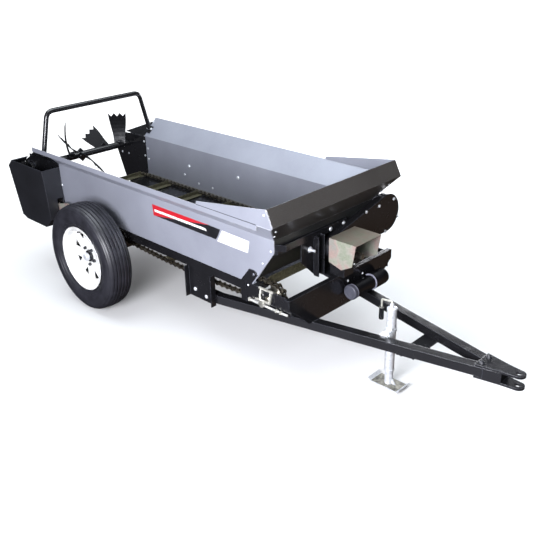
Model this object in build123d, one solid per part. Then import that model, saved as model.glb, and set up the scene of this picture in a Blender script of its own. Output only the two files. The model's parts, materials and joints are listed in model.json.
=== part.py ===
"""Small single-axle manure spreader, towed behind a garden tractor.

Millimetres, +X towards the hitch, +Y the machine's left side, +Z up, ground at Z = 0.
Everything is laid out from the axle's centre line (X = 0) and moved at the end so that the
origin is under the middle of the machine's box.
"""
from build123d import *
import math
import os

os.makedirs("parts", exist_ok=True)

# ---------------------------------------------------------------- driving dimensions
# wheels and axle
tyre_radius = 345.0
tyre_width = 168.0
bead_radius = 190.5            # 15 inch rim
flange_radius = 208.0
rim_half_width = 69.0
disc_offset = 8.0              # outward from the middle of the tyre to the disc's seat
axle_side = 50.0               # square axle tube
spindle_radius = 16.0
hub_radius = 38.0
run_gap = 0.05                 # radial clearance of a running fit

# load box
wall_inner_y = 402.0
sheet = 3.0                    # box sheet
wall_bottom = tyre_radius + 155
floor_top = wall_bottom - 2
crease_z = wall_bottom + 293
flare_rise = 118.0             # the flare leans out at 45 degrees
lip_height = 31.0
box_rear_x = -675.0
box_front_x = 1444.0
corner_cut_x = box_front_x - 164   # where the panel's lower front corner is cut away
corner_cut_z = wall_bottom + 224
hood_fold_x = box_front_x + 101
hood_fold_z = crease_z + 127
hood_top_x = box_front_x + 60
hood_top_z = crease_z + 212
wing_start_x = box_front_x - 449
lip_front_x = box_front_x - 4
seam_x = box_front_x - 36      # where the panel's flare ends at the crease
wheel_plane_y = wall_inner_y + 182     # middle of the tyre from the machine's centre line

# main frame
rail_height = 55.0
rail_flange = 40.0
rail_wall = 5.0
rail_rear_x = box_rear_x + 35
cross_tube = 40.0
crossmember_x = box_front_x + 124      # front face of the front crossmember
crossmember_half = wall_inner_y + 30
plate = 6.0                    # heavy frame plate

# drawbar
beam_height = 50.0
beam_width = 52.0
beam_wall = 5.0
beam_centre_z = 291.0
beam_rear_x = 1002.0
beam_rear_y = wall_inner_y - 18        # outer face at beam_rear_x
beam_front_x = crossmember_x + 872
beam_front_y = 58.0            # outer face at beam_front_x
hanger_rear_x = 738.0
hanger_front_x = 962.0
hanger_depth = 36.0
hanger_drop = 252.0            # bottom of the hangers above the ground
pin_x = beam_front_x + 150
pin_radius = 12.5
ear_thickness = 12.0
ear_radius = 32.0

# apron conveyor
front_shaft_x = box_front_x - 44
rear_shaft_x = box_rear_x - 5
shaft_z = wall_bottom - 45
chain_pitch_radius = 57.0
chain_thickness = 22.0
chain_width = 30.0
chain_groove = 14.0            # between a chain's side plates
chain_y = wall_inner_y - 57
chain_links = 108
slat_links = 8                 # links from one slat to the next
slat_count = 13                # the loop's last gap is longer, where the chain is joined
slat_foot = 40.0
slat_height = 30.0
slat_wall = 5.0
sprocket_teeth = 9
sprocket_tip = 62.0

# beater and its drive
beater_x = rear_shaft_x - 235
beater_z = wall_bottom + 200
beater_tube_radius = 24.0
beater_stub_radius = 15.0
paddle_reach = 245.0
paddle_tip = 134.0
paddle_root = 84.0
paddle_wall = 6.0
paddle_teeth = 3
paddle_notch = 26.0
paddle_bow = 14.0              # how far the leaf is dished along its length
side_shaft_y = wall_inner_y + 62
side_shaft_radius = 21.0
pto_z = wall_bottom + 140
pto_radius = 17.46             # 1 3/8 inch stub
pto_end_x = crossmember_x + 122

# rear plates and guards
rear_plate = 4.0
guard_face_y = wall_inner_y + 133
guard_bar_radius = 13.5
guard_bar_top = crease_z + 334

# parking jack
jack_x = beam_front_x - 515
jack_pivot_z = beam_centre_z + 12
jack_tube_radius = 25.5
jack_leg_radius = 22.2
jack_tube_bottom = 85.0
jack_tube_top = jack_pivot_z + 147
crank_throw = 64.0
foot_length = 190.0
foot_width = 96.0

# ---------------------------------------------------------------- worked out
wall_outer_y = wall_inner_y + sheet
rail_top = wall_bottom
rail_bottom = rail_top - rail_height
flare_top_y = wall_inner_y + flare_rise
flare_top_z = crease_z + flare_rise
beam_bottom = beam_centre_z - beam_height / 2
beam_top = beam_centre_z + beam_height / 2
beam_slope = (beam_rear_y - beam_front_y) / (beam_front_x - beam_rear_x)
jack_y = beam_width - beam_front_y - beam_slope * (beam_front_x - jack_x) + 64.75
plate_outer_y = wall_outer_y + rear_plate
hood_slope = (hood_fold_x - box_front_x + sheet) / (hood_fold_z - crease_z)
rear_end_x = beater_x - 153.0
SIDES = (("left", 1), ("right", -1))


# ---------------------------------------------------------------- shape helpers
nodes = {}


def save(node, *solids):
    """Keep one node; all of them are moved and written at the end."""
    nodes[node] = solids


def block(x0, x1, y0, y1, z0, z1):
    return Pos((x0 + x1) / 2, (y0 + y1) / 2, (z0 + z1) / 2) * Box(x1 - x0, y1 - y0, z1 - z0)


def face_of(points):
    return make_face(Polyline(*points, close=True))


def plate_xz(points, y0, y1):
    """Outline of (x, z) points, from y0 to y1."""
    return extrude(Plane.XZ.offset(-y1) * face_of(points), amount=y1 - y0)


def plate_xy(points, z0, z1):
    return extrude(Plane.XY.offset(z0) * face_of(points), amount=z1 - z0)


def plate_yz(points, x0, x1):
    return extrude(Plane.YZ.offset(x0) * face_of(points), amount=x1 - x0)


def rod(axis, start, end, radius, a, b):
    """Round bar along X, Y or Z between two coordinates; a and b are the other two, in order."""
    middle = (start + end) / 2
    length = abs(end - start)
    if axis == "x":
        return Pos(middle, a, b) * Rot(0, 90, 0) * Cylinder(radius, length)
    if axis == "y":
        return Pos(a, middle, b) * Rot(90, 0, 0) * Cylinder(radius, length)
    return Pos(a, b, middle) * Cylinder(radius, length)


def bent_sheet(path, thickness):
    """Closed outline of a folded sheet: the path, and its parallel on the right-hand side."""
    normals = []
    for (a0, b0), (a1, b1) in zip(path, path[1:]):
        run = math.hypot(a1 - a0, b1 - b0)
        normals.append(((b1 - b0) / run, -(a1 - a0) / run))
    shifted = []
    for i, (a, b) in enumerate(path):
        n0 = normals[max(i - 1, 0)]
        n1 = normals[min(i, len(normals) - 1)]
        k = thickness / (1 + n0[0] * n1[0] + n0[1] * n1[1])
        shifted.append((a + (n0[0] + n1[0]) * k, b + (n0[1] + n1[1]) * k))
    return list(path) + shifted[::-1]


def flip(solid, side):
    """The same solid for the left side (1) or mirrored to the right (-1)."""
    return solid if side > 0 else mirror(solid, Plane.XZ)


def beam_face_y(x):
    """Outer face of the left drawbar beam at x."""
    return beam_rear_y - beam_slope * (x - beam_rear_x)


# ---------------------------------------------------------------- load box
def side_panel():
    """Left wall: foot flange, upright, 45 degree flare and turned-down lip, one folded sheet."""
    foot = 25.0
    wall = bent_sheet([(wall_inner_y - foot, wall_bottom + sheet), (wall_inner_y, wall_bottom + sheet),
                       (wall_inner_y, crease_z), (wall_inner_y + 1, crease_z + 1)], sheet)
    flare = bent_sheet([(wall_inner_y, crease_z - 6), (wall_inner_y, crease_z), (flare_top_y, flare_top_z),
                        (flare_top_y, flare_top_z - lip_height)], sheet)
    panel = plate_yz(wall, box_rear_x, box_front_x) + plate_yz(flare, box_rear_x - 7, lip_front_x)
    corner = plate_xz([(corner_cut_x, wall_bottom - 5), (box_front_x, corner_cut_z), (box_front_x + 50, corner_cut_z),
                       (box_front_x + 50, wall_bottom - 5)], 0, wall_outer_y + 5)
    ahead = plate_xz([(seam_x, crease_z + 1.5), (lip_front_x, flare_top_z - 8), (lip_front_x + 40, flare_top_z - 8),
                      (lip_front_x + 40, crease_z + 1.5)], 0, flare_top_y - 1)
    return panel - corner - ahead


def wing():
    """Left corner gusset: a web on the flare's top edge and a flange that carries the flare on to the hood."""
    flange = plate_yz(bent_sheet([(wall_inner_y + 2, crease_z + 2), (flare_top_y, flare_top_z)], sheet),
                      seam_x - 5, hood_fold_x + 10)
    gap = 0.3
    keep = plate_xz([(seam_x + gap, crease_z + 1.8), (lip_front_x + gap, flare_top_z - 8),
                     (lip_front_x + gap, flare_top_z + 5), (hood_fold_x - 4, flare_top_z + 5),
                     (box_front_x + 0.5 + hood_slope * 2, crease_z + 1.8)], 0, flare_top_y + 20)
    web = plate_xz([(wing_start_x, flare_top_z + 0.3), (wing_start_x + 6, flare_top_z + 18),
                    (hood_top_x, hood_top_z), (hood_fold_x + 3, hood_fold_z - 3),
                    (hood_fold_x - 5, flare_top_z - 3), (lip_front_x + gap, flare_top_z - 3),
                    (lip_front_x + gap, flare_top_z + 0.3)], flare_top_y - sheet, flare_top_y)
    return (flange & keep) + web


def front_wall():
    """Sheet that leans with the panels' cut corners and stands up to the hood."""
    slope = (box_front_x - corner_cut_x) / (corner_cut_z - wall_bottom)
    low_z = rail_top + slat_height + 12
    inside = [(corner_cut_x + 3 + slope * (low_z - wall_bottom), low_z), (box_front_x - sheet, corner_cut_z),
              (box_front_x - sheet, crease_z)]
    return plate_xz(bent_sheet(inside, sheet), -wall_inner_y, wall_inner_y)


def front_hood():
    """Folded sheet: the lower leaf widens along the flares, the upper leaf leans back over the load."""
    half = flare_top_y - sheet - 0.1
    path = [(box_front_x - sheet, crease_z), (hood_fold_x, hood_fold_z), (hood_top_x, hood_top_z)]
    leaf = plate_xz(bent_sheet(path, sheet), -half, half)
    low = crease_z + 0.3
    keep = plate_yz([(-wall_inner_y, low), (wall_inner_y, low), (half, low + half - wall_inner_y),
                     (half, hood_top_z + 10), (-half, hood_top_z + 10), (-half, low + half - wall_inner_y)],
                    box_front_x - 20, hood_fold_x + 20)
    return leaf & keep


def floor_pan():
    return block(rear_shaft_x + 45, corner_cut_x + 8, -(wall_outer_y - rail_flange) + 0.3,
                 wall_outer_y - rail_flange - 0.3, floor_top - sheet, floor_top)


# ---------------------------------------------------------------- main frame
def main_rail():
    """Left C-channel, web outwards, between the rear plate and the take-up window."""
    y1 = wall_outer_y
    y0 = y1 - rail_flange
    outline = [(y0, rail_bottom), (y1, rail_bottom), (y1, rail_top), (y0, rail_top),
               (y0, rail_top - rail_wall), (y1 - rail_wall, rail_top - rail_wall),
               (y1 - rail_wall, rail_bottom + rail_wall), (y0, rail_bottom + rail_wall)]
    return plate_yz(outline, rail_rear_x, front_shaft_x - 42)


def floor_crossmembers():
    """Square tubes between the rails' webs, inside the conveyor loop."""
    y = wall_outer_y - rail_wall
    z1 = floor_top - sheet
    tubes = []
    for x in (-560.0, -60.0, 440.0, 940.0, 1262.0):
        outer = block(x, x + cross_tube, -y, y, z1 - cross_tube + 5, z1)
        tubes.append(outer - block(x + 4, x + cross_tube - 4, -y - 1, y + 1, z1 - cross_tube + 9, z1 - 4))
    return tubes


def axle():
    """Square axle tube under the rails with its brackets and the two spindles."""
    end_y = wheel_plane_y - 96
    top = tyre_radius + axle_side / 2
    beam = block(-axle_side / 2, axle_side / 2, -end_y, end_y, tyre_radius - axle_side / 2, top)
    solid = beam
    for _, side in SIDES:
        spindle = rod("y", end_y - 1, wheel_plane_y + 34, spindle_radius, 0, tyre_radius)
        web = plate_xz([(-95, rail_bottom), (95, rail_bottom), (35, top), (-35, top)],
                       wall_outer_y - 12, wall_outer_y - 2)
        seat = block(-95, 95, wall_outer_y - rail_flange, wall_outer_y - 2, rail_bottom - 8, rail_bottom)
        solid = solid + flip(spindle + web + seat, side)
    return solid


def drawbar_hanger():
    """Left channel hung from the rail, open outwards; the drawbar beam bolts to its web."""
    t = 5.0
    y0 = beam_face_y(hanger_front_x + 10)
    y1 = y0 + hanger_depth
    outline = [(hanger_rear_x, y0), (hanger_front_x, y0), (hanger_front_x, y1), (hanger_front_x - t, y1),
               (hanger_front_x - t, y0 + t), (hanger_rear_x + t, y0 + t), (hanger_rear_x + t, y1),
               (hanger_rear_x, y1)]
    return plate_xy(outline, hanger_drop, rail_bottom)


def takeup_plate():
    """Left side plate that carries the conveyor's front shaft: hanging leg, window, lug and front foot."""
    y0 = wall_outer_y
    x = front_shaft_x
    end = crossmember_x - plate
    outline = [(x - 203, rail_bottom - 60), (x - 160, rail_bottom - 60), (x - 160, rail_bottom - 23),
               (end - 27, rail_bottom - 23), (end - 27, rail_bottom - 43), (end, rail_bottom - 43), (end, rail_top),
               (x - 124, rail_top), (x - 78, rail_top + 62), (x - 88, rail_top + 80), (x - 106, rail_top + 86),
               (x - 138, rail_top + 84), (x - 203, rail_top)]
    body = plate_xz(outline, y0, y0 + plate)
    window = block(x - 40, x + 40, y0 - 1, y0 + plate + 1, shaft_z - 26, shaft_z + 36)
    return body - window - rod("y", y0 - 1, y0 + plate + 1, 9, x - 105, rail_top + 62)


def takeup_block():
    """Left sliding bearing block: its guide frame leans outwards over the rail, with the adjusting screw below."""
    y0 = wall_outer_y
    x = front_shaft_x - 10
    top = rail_top + 10
    low = shaft_z - 9
    body = block(front_shaft_x - 38, front_shaft_x + 38, y0 - 8, y0 + 8, shaft_z - 25, shaft_z + 35)
    frame = block(x - 50, x + 52, y0 + 6.2, y0 + 16, top - 10, top)
    frame = frame + block(x - 66, x + 34, y0 + 17, y0 + 27, low - 10, low)
    for a in (-40, 30):
        bar = plate_yz([(y0 + 6.2, top), (y0 + 16, top), (y0 + 27, low), (y0 + 27, low - 10), (y0 + 17, low - 10),
                        (y0 + 6.2, top - 10)], x + a, x + a + 9)
        frame = frame + bar
    rib = block(x - 40, x - 24, y0 + 6.2, y0 + 20, shaft_z - 20, shaft_z + 20)
    lug = rod("y", y0 + 8, y0 + 22, 20, x - 28, shaft_z - 37)
    screw_y = y0 + 15
    screw = rod("x", x - 122, crossmember_x - plate - 16, 6, screw_y, shaft_z - 43)
    head = Pos(x - 122, screw_y, shaft_z - 43) * Rot(0, 90, 0) * extrude(RegularPolygon(11, 6), amount=8)
    solid = body + frame + rib + lug + screw + head
    for a in (72, 104):
        solid = solid + Pos(x + a, screw_y, shaft_z - 43) * Rot(0, 90, 0) * extrude(RegularPolygon(11, 6), amount=10)
    return solid - rod("y", y0 - 9, y0 + 9, 15.3, front_shaft_x, shaft_z)


def front_crossmember():
    """Formed plate across the rails' ends, resting on the drawbar beams."""
    half = crossmember_half
    outline = [(-half, rail_top + 5), (half, rail_top + 5), (half, rail_top - 47), (half - 72, rail_top - 108),
               (half - 150, beam_top), (-half + 150, beam_top), (-half + 72, rail_top - 108), (-half, rail_top - 47)]
    web = plate_yz(outline, crossmember_x - plate, crossmember_x)
    top = block(crossmember_x - 30, crossmember_x, -half, half, rail_top, rail_top + 5)
    foot = plate_yz([(-half + 150, beam_top), (half - 150, beam_top), (half - 150, beam_top + plate),
                     (-half + 150, beam_top + plate)], crossmember_x - 66, crossmember_x)
    return web + top + foot


# ---------------------------------------------------------------- drawbar
def drawbar_beam():
    """Left beam: a run parallel to the rail inside the hanger, then straight to the hitch."""
    knee_x = hanger_front_x + 10
    y_knee = beam_face_y(knee_x)
    outline = [(hanger_rear_x + 12, y_knee), (knee_x, y_knee), (beam_front_x, beam_front_y),
               (beam_front_x, beam_front_y - beam_width), (knee_x, y_knee - beam_width),
               (hanger_rear_x + 12, y_knee - beam_width)]
    inside = offset(face_of(outline), amount=-beam_wall)
    hollow = extrude(Plane.XY.offset(beam_bottom + beam_wall) * inside, amount=beam_height - 2 * beam_wall)
    mouth = block(hanger_rear_x, hanger_rear_x + 30, y_knee - beam_width + beam_wall, y_knee - beam_wall,
                  beam_bottom + beam_wall, beam_top - beam_wall)
    return plate_xy(outline, beam_bottom, beam_top) - hollow - mouth


def drawbar_brace():
    """Plate under both beams in front of the jack, with a short pipe for the safety chain."""
    x0 = beam_front_x - 418
    x1 = x0 + 90
    outline = [(x0, -beam_face_y(x0) + 4), (x1, -beam_face_y(x1) + 4), (x1, beam_face_y(x1) - 4),
               (x0, beam_face_y(x0) - 4)]
    return plate_xy(outline, beam_bottom - plate, beam_bottom)


def hitch_clevis():
    """Two ear plates over and under the beams' ends, joined by a block between them."""
    rear_x = beam_front_x - 40
    nose_x = beam_front_x + 85
    half_rear = beam_face_y(rear_x) - 2
    ears = None
    for z0 in (beam_top, beam_bottom - ear_thickness):
        ear = plate_xy([(rear_x, -half_rear), (nose_x, -ear_radius - 8), (pin_x, -ear_radius),
                        (pin_x, ear_radius), (nose_x, ear_radius + 8), (rear_x, half_rear)],
                       z0, z0 + ear_thickness)
        ear = ear + rod("z", z0, z0 + ear_thickness, ear_radius, pin_x, 0)
        ears = ear if ears is None else ears + ear
    body = plate_xy([(beam_front_x + 0.2, -beam_front_y), (nose_x, -ear_radius - 8), (nose_x, ear_radius + 8),
                     (beam_front_x + 0.2, beam_front_y)], beam_bottom - 1, beam_top + 1)
    return ears + body - rod("z", beam_bottom - 40, beam_top + 40, pin_radius, pin_x, 0)


# ---------------------------------------------------------------- apron conveyor
def loop_outline(offset):
    """Stadium in XZ at a distance from the chain's pitch line."""
    r = chain_pitch_radius + offset
    run = front_shaft_x - rear_shaft_x
    return Plane.XZ * Pos(rear_shaft_x + run / 2, shaft_z) * SlotCenterToCenter(run, 2 * r)


def on_loop(length):
    """Turn and place that carry a part to a distance along the loop from the rear shaft's top."""
    run = front_shaft_x - rear_shaft_x
    r = chain_pitch_radius
    if length <= run:
        return Pos(rear_shaft_x + length, 0, shaft_z + r)
    if length <= run + math.pi * r:
        a = (length - run) / r
        return Pos(front_shaft_x + r * math.sin(a), 0, shaft_z + r * math.cos(a)) * Rot(0, math.degrees(a), 0)
    return Pos(front_shaft_x - (length - run - math.pi * r), 0, shaft_z - r) * Rot(0, 180, 0)


def apron_conveyor():
    """Two chains, grooved inside for the sprockets' teeth, and the angle slats across them: one fixed loop."""
    half = chain_thickness / 2
    chain = extrude(loop_outline(half), amount=chain_width / 2, both=True) \
        - extrude(loop_outline(-half), amount=chain_width, both=True)
    chain = chain - (extrude(loop_outline(half - 5), amount=chain_groove / 2, both=True)
                     - extrude(loop_outline(-half - 1), amount=chain_width, both=True))
    solid = Pos(0, chain_y, 0) * chain + Pos(0, -chain_y, 0) * chain
    run = front_shaft_x - rear_shaft_x
    pitch = (2 * run + 2 * math.pi * chain_pitch_radius) * slat_links / chain_links
    span = 2 * (chain_y - chain_width / 2) + 2
    foot = Pos(slat_foot / 2, 0, slat_wall / 2 - half + 1) * Box(slat_foot, span, slat_wall)
    leg = Pos(slat_wall / 2, 0, slat_height / 2 - half + 1) * Box(slat_wall, span, slat_height)
    for i in range(slat_count):
        solid = solid + on_loop(i * pitch) * (foot + leg)
    return solid


def sprocket():
    """Toothed wheel about +Y at the origin, with its hub."""
    step = 360 / sprocket_teeth
    outline = []
    for i in range(sprocket_teeth):
        for turn, radius in ((-0.34, 50), (-0.20, 54), (-0.10, sprocket_tip), (0.10, sprocket_tip), (0.20, 54), (0.34, 50)):
            a = math.radians(step * (i + turn))
            outline.append((radius * math.sin(a), radius * math.cos(a)))
    return plate_xz(outline, -6, 6) + rod("y", -22, 22, 26, 0, 0)


def conveyor_shaft(x, reach_right, reach_left):
    """Shaft with the two sprockets that carry the chains."""
    shaft = rod("y", -reach_right, reach_left, 15, x, shaft_z)
    for side in (1, -1):
        shaft = shaft + Pos(x, side * chain_y, shaft_z) * sprocket()
    return shaft


# ---------------------------------------------------------------- rear end
def rear_plate_side():
    """Left rear plate outside the panel, with its tapering flare and the shaft holes."""
    front_x = box_rear_x + 113
    outer_crease = crease_z - sheet * math.tan(math.radians(22.5)) - 0.15
    low = wall_bottom - 118
    outline = [(front_x, low + 48), (front_x, outer_crease), (beater_x - 20, crease_z - 14),
               (beater_x - 105, crease_z - 62), (rear_end_x, crease_z - 161), (beater_x - 70, low + 43),
               (beater_x - 25, low), (box_rear_x + 55, low)]
    y0 = wall_outer_y
    web = plate_xz(outline, y0, y0 + rear_plate)
    web = web - rod("y", y0 - 1, y0 + 10, 21, beater_x, beater_z) - rod("y", y0 - 1, y0 + 10, 21, rear_shaft_x, shaft_z)
    lean = Plane(origin=(0, y0, outer_crease), x_dir=(1, 0, 0), z_dir=(0, -1, 1))
    top = flare_rise * math.sqrt(2) - lip_height - 4
    leaf = extrude(lean * face_of([(front_x, 0), (front_x, top), (box_rear_x - 12, top), (beater_x - 10, 0)]),
                   amount=-rear_plate)
    return web + leaf


def rear_guard_bar():
    """Bent pipe over the beater, with a pad at each foot on the flare."""
    foot_y = wall_inner_y + 44
    foot_z = crease_z + (foot_y - wall_inner_y)
    top_y = wall_inner_y - 24
    x0 = box_rear_x + 11
    path = FilletPolyline((x0, -foot_y, foot_z + 8), (x0, -top_y, guard_bar_top), (x0, top_y, guard_bar_top),
                          (x0, foot_y, foot_z + 8), radius=58)
    section = Plane(origin=path @ 0, z_dir=path % 0) * Circle(guard_bar_radius)
    bar = sweep(section, path=path)
    pad = Pos(x0, foot_y - 3.2, foot_z + 3.4) * Rot(45, 0, 0) * Box(60, 60, 6)
    below = plate_yz([(wall_inner_y, crease_z), (flare_top_y, flare_top_z), (flare_top_y, crease_z)], x0 - 60, x0 + 60)
    return bar + pad + mirror(pad, Plane.XZ) - below - mirror(below, Plane.XZ)


def drive_guard():
    """Open-topped sheet cover over the drive at the right rear."""
    x, z = beater_x, beater_z
    outline = [(x + 345, z + 66), (x - 66, z + 65), (x - 118, z + 20), (x - 21, z - 323), (x + 40, z - 344),
               (x + 298, z - 343), (x + 379, z - 271)]
    outer = plate_xz(outline, -guard_face_y, -plate_outer_y)
    inner_face = offset(face_of(outline), amount=-sheet)
    inner = extrude(Plane.XZ.offset(plate_outer_y - 1) * inner_face, amount=guard_face_y - plate_outer_y - sheet + 1)
    mouth = plate_xz([(x + 341, z + 50), (x - 62, z + 50), (x - 62, z + 100), (x + 341, z + 100)],
                     -guard_face_y + sheet, -plate_outer_y + 1)
    slot = block(x + 315, x + 395, -plate_outer_y - 53, -plate_outer_y - 9, shaft_z + 15, shaft_z + 105)
    return outer - inner - mouth - slot


def ratchet():
    """Saw-toothed wheel on the rear conveyor shaft, its feed lever and the pawl."""
    y = -plate_outer_y
    teeth = 24
    outline = []
    for i in range(teeth):
        for turn, radius in ((0.0, 58), (0.12, 58), (0.9, 51)):
            a = 2 * math.pi * (i + turn) / teeth
            outline.append((rear_shaft_x + radius * math.cos(a), shaft_z + radius * math.sin(a)))
    wheel = plate_xz(outline, y - 35, y - 11)
    x, z = rear_shaft_x, shaft_z
    lever = plate_xz([(x - 20, z + 30), (x + 10, z - 20), (x + 260, z + 57), (x + 270, z + 90), (x + 240, z + 97)],
                     y - 47, y - 35)
    pawl = plate_xz([(x + 48, z + 20), (x + 96, z + 42), (x + 90, z + 58), (x + 44, z + 36)], y - 36, y - 14)
    pin = rod("y", y - 52, y - 12, 7, x + 86, z + 47)
    eye = rod("y", y - 50, y - 34, 15, x + 246, z + 76)
    return wheel + lever + pawl + pin + eye - rod("y", y - 60, y, 15.3, x, z)


def flange_bearing(x, z, side):
    """Four-bolt flange housing outside a rear plate: square flange, round boss and grease nipple."""
    y0 = plate_outer_y
    depth = 26 if side < 0 else 24
    flange = extrude(Plane.XZ.offset(-(y0 + 11)) * Pos(x, z) * RectangleRounded(98, 98, 20), amount=11)
    solid = flange + rod("y", y0, y0 + depth, 34, x, z) + rod("z", z + 30, z + 40, 4, x, y0 + depth - 7)
    for a in (-36, 36):
        for b in (-36, 36):
            bolt = Pos(x + a, y0 + 11, z + b) * Rot(-90, 0, 0) * extrude(RegularPolygon(9, 6), amount=7)
            solid = solid + bolt
    return flip(solid, side)


def paddle(y, angle, twist):
    """Dished, toothed leaf with a bolted foot on the beater tube."""
    half_tip = paddle_tip / 2
    half_root = paddle_root / 2
    pitch = paddle_tip / paddle_teeth
    edge = [(-half_root, 8), (-half_root - 4, 0.3 * paddle_reach), (-half_tip + 8, 0.62 * paddle_reach),
            (-half_tip + 2, 0.82 * paddle_reach)]
    top = []
    for i in range(2 * paddle_teeth + 1):
        top.append((-half_tip + i * pitch / 2, paddle_reach - (0 if i % 2 == 0 else paddle_notch)))
    outline = edge + top + [(-a, b) for a, b in edge[::-1]]
    dish = [(paddle_bow * math.sin(math.pi * k / 8), paddle_reach * k / 8) for k in range(9)]
    dish.append((-1, paddle_reach + 6))
    sheet_strip = plate_yz(bent_sheet(dish, paddle_wall), -half_tip - 6, half_tip + 6)
    leaf = sheet_strip & extrude(Plane.XZ * face_of(outline), amount=40, both=True)
    foot = Pos(0, -12, beater_tube_radius + 2) * Box(0.6 * paddle_root, 42, 11)
    bolt = Pos(0, -22, beater_tube_radius + 6) * extrude(RegularPolygon(9, 6), amount=8)
    return Pos(beater_x, y, beater_z) * Rot(0, 90 - angle, 0) * Rot(0, 0, 90 + twist) * (leaf + foot + bolt)


def beater():
    """Tube with toothed paddles, pitched outwards on each half."""
    inner = wall_outer_y - 6
    reach = plate_outer_y + 24
    spread = wall_inner_y / 402
    solid = rod("y", -inner, inner, beater_tube_radius, beater_x, beater_z)
    solid = solid + rod("y", -reach, reach, beater_stub_radius, beater_x, beater_z)
    # place along the tube in a load space 804 wide, direction in degrees up from +X, twist about the paddle's own length
    for y, angle, twist in ((330, 90, -45), (195, 158, -45), (-15, 162, 47), (-15, -18, -47),
                            (-105, 93, 57), (-200, 250, 45), (-270, -25, 45), (-330, 195, 45)):
        solid = solid + paddle(y * spread, angle, twist)
    return solid


# ---------------------------------------------------------------- front drive
def gearbox_mount():
    """Plate and channel in front of the front wall, the bar and tab under the hood, and the shelf to the crossmember."""
    x = box_front_x
    z = rail_top
    back = plate_yz([(-212, z + 107), (-212, z + 245), (150, z + 245), (150, z), (-105, z)], x + 3.2, x + 8.2)
    post = block(x + 8.2, x + 42, -114, -62, z, z + 230) - block(x + 14, x + 43, -108, -68, z - 1, z + 231)
    bar = block(x + 0.2, x + 17.5, -wall_inner_y + 2, 150, z + 216, z + 254)
    tab = plate_xz([(x + 3, z + 238), (x + 80, z + 254), (x + 80, z + 286), (x + 16, z + 274), (x + 3, z + 270)],
                   -wall_inner_y, -wall_inner_y + 5)
    shelf = block(corner_cut_x + 50, crossmember_x - 30.3, -66, 105, z - 6, z)
    return back + post + bar + tab + shelf


def gearbox():
    """Rounded housing on a flanged foot, with cooling ribs, a ringed nose and a filler plug."""
    x = box_front_x + 61
    body = block(x, x + 99, -58, 58, pto_z - 62, pto_z + 62)
    body = fillet(body.edges().filter_by(Axis.X), 14)
    for y in (-44, -22, 0, 22, 44):
        body = body + block(x + 6, x + 42, y - 3, y + 3, pto_z + 55, pto_z + 70)
    nose = rod("x", x + 98, x + 109, 36, 0, pto_z) + rod("x", x + 98, x + 103, 48, 0, pto_z)
    foot = block(x + 0.5, x + 95, -40, 40, rail_top + 5, pto_z - 60)
    plug = rod("y", -66, -57, 9, x + 50, pto_z + 20)
    bore = rod("x", x + 55, x + 110, 15 + run_gap, 0, pto_z)
    return body + nose + foot + plug - bore


def pto_stub():
    start = pto_end_x - 128
    return rod("x", start, start + 58, 15, 0, pto_z) + rod("x", start + 54, pto_end_x, pto_radius, 0, pto_z)


def gearbox_shield():
    """Folded cover over the stub, open in front and below."""
    half = 106.0
    x0 = box_front_x + 106
    x1 = x0 + 174
    top = pto_z + 102
    side = [(x0, top), (x1, top), (x1 - 23, top - 122), (x1 - 92, top - 158), (x0, top - 135)]
    solid = block(x0, x1, -half, half, top - sheet, top)
    for s in (1, -1):
        y0 = s * half - (sheet if s > 0 else 0)
        solid = solid + plate_xz(side, y0, y0 + sheet)
    back = block(x0, x0 + sheet, -half, half, pto_z + 62, top)
    return solid + back


def chain_case():
    """Flat case that takes the drive from the centre to the left side shaft."""
    r0 = 60.0
    r1 = 114.0
    x0 = box_front_x + 18
    x1 = x0 + 40
    lean = math.atan2(beater_z - pto_z, side_shaft_y)
    gap = math.hypot(beater_z - pto_z, side_shaft_y)
    spread = math.asin((r1 - r0) / gap)
    points = []
    for s in (1, -1):
        a = lean + s * (math.pi / 2 + spread)
        points.append(((r0 * math.cos(a), pto_z + r0 * math.sin(a)),
                       (side_shaft_y + r1 * math.cos(a), beater_z + r1 * math.sin(a))))
    web = plate_yz([points[0][0], points[0][1], points[1][1], points[1][0]], x0, x1)
    behind = rod("x", x0 - 56, x0 + 1, r1 - 12, side_shaft_y, beater_z)
    behind = behind - block(x0 - 70, x0, side_shaft_y - 2 * r1, wall_outer_y + 3, 0, 2 * beater_z)
    return web + rod("x", x0, x1, r0, 0, pto_z) + rod("x", x0, x1, r1, side_shaft_y, beater_z) + behind


def side_drive():
    """Guard tube along the left side and the angle drive at the beater's end."""
    tube = rod("x", beater_x + 62, box_front_x - 38.2, side_shaft_radius, side_shaft_y, beater_z)
    box = block(beater_x - 62, beater_x + 62, plate_outer_y + 0.2, side_shaft_y + 52, beater_z - 58, beater_z + 58)
    box = fillet(box.edges().filter_by(Axis.Y), 18)
    bore = rod("y", plate_outer_y - 1, plate_outer_y + 30, beater_stub_radius + run_gap, beater_x, beater_z)
    solid = tube + box - bore
    for x in (box_rear_x + 325, (box_rear_x + box_front_x) / 2, box_front_x - 264):
        arm = block(x, x + 40, wall_outer_y + 0.2, side_shaft_y, beater_z - 6, beater_z + 6)
        solid = solid + arm
    return solid


def canister():
    """Document tube with a screw cap, strapped to the crossmember by two ears."""
    x = crossmember_x + 47
    z = rail_top - 107
    tube = rod("y", 24, 322, 44, x, z)
    cap = rod("y", 2, 26, 46, x, z)
    ears = None
    for y in (0.0, 240.0):
        ear = block(crossmember_x + 0.1, crossmember_x + 4, y + 30, y + 55, z + 20, z + 80)
        arm = block(crossmember_x + 0.1, x, y + 30, y + 55, z + 20, z + 26)
        ears = ear + arm if ears is None else ears + ear + arm
    return tube + cap + ears


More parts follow.
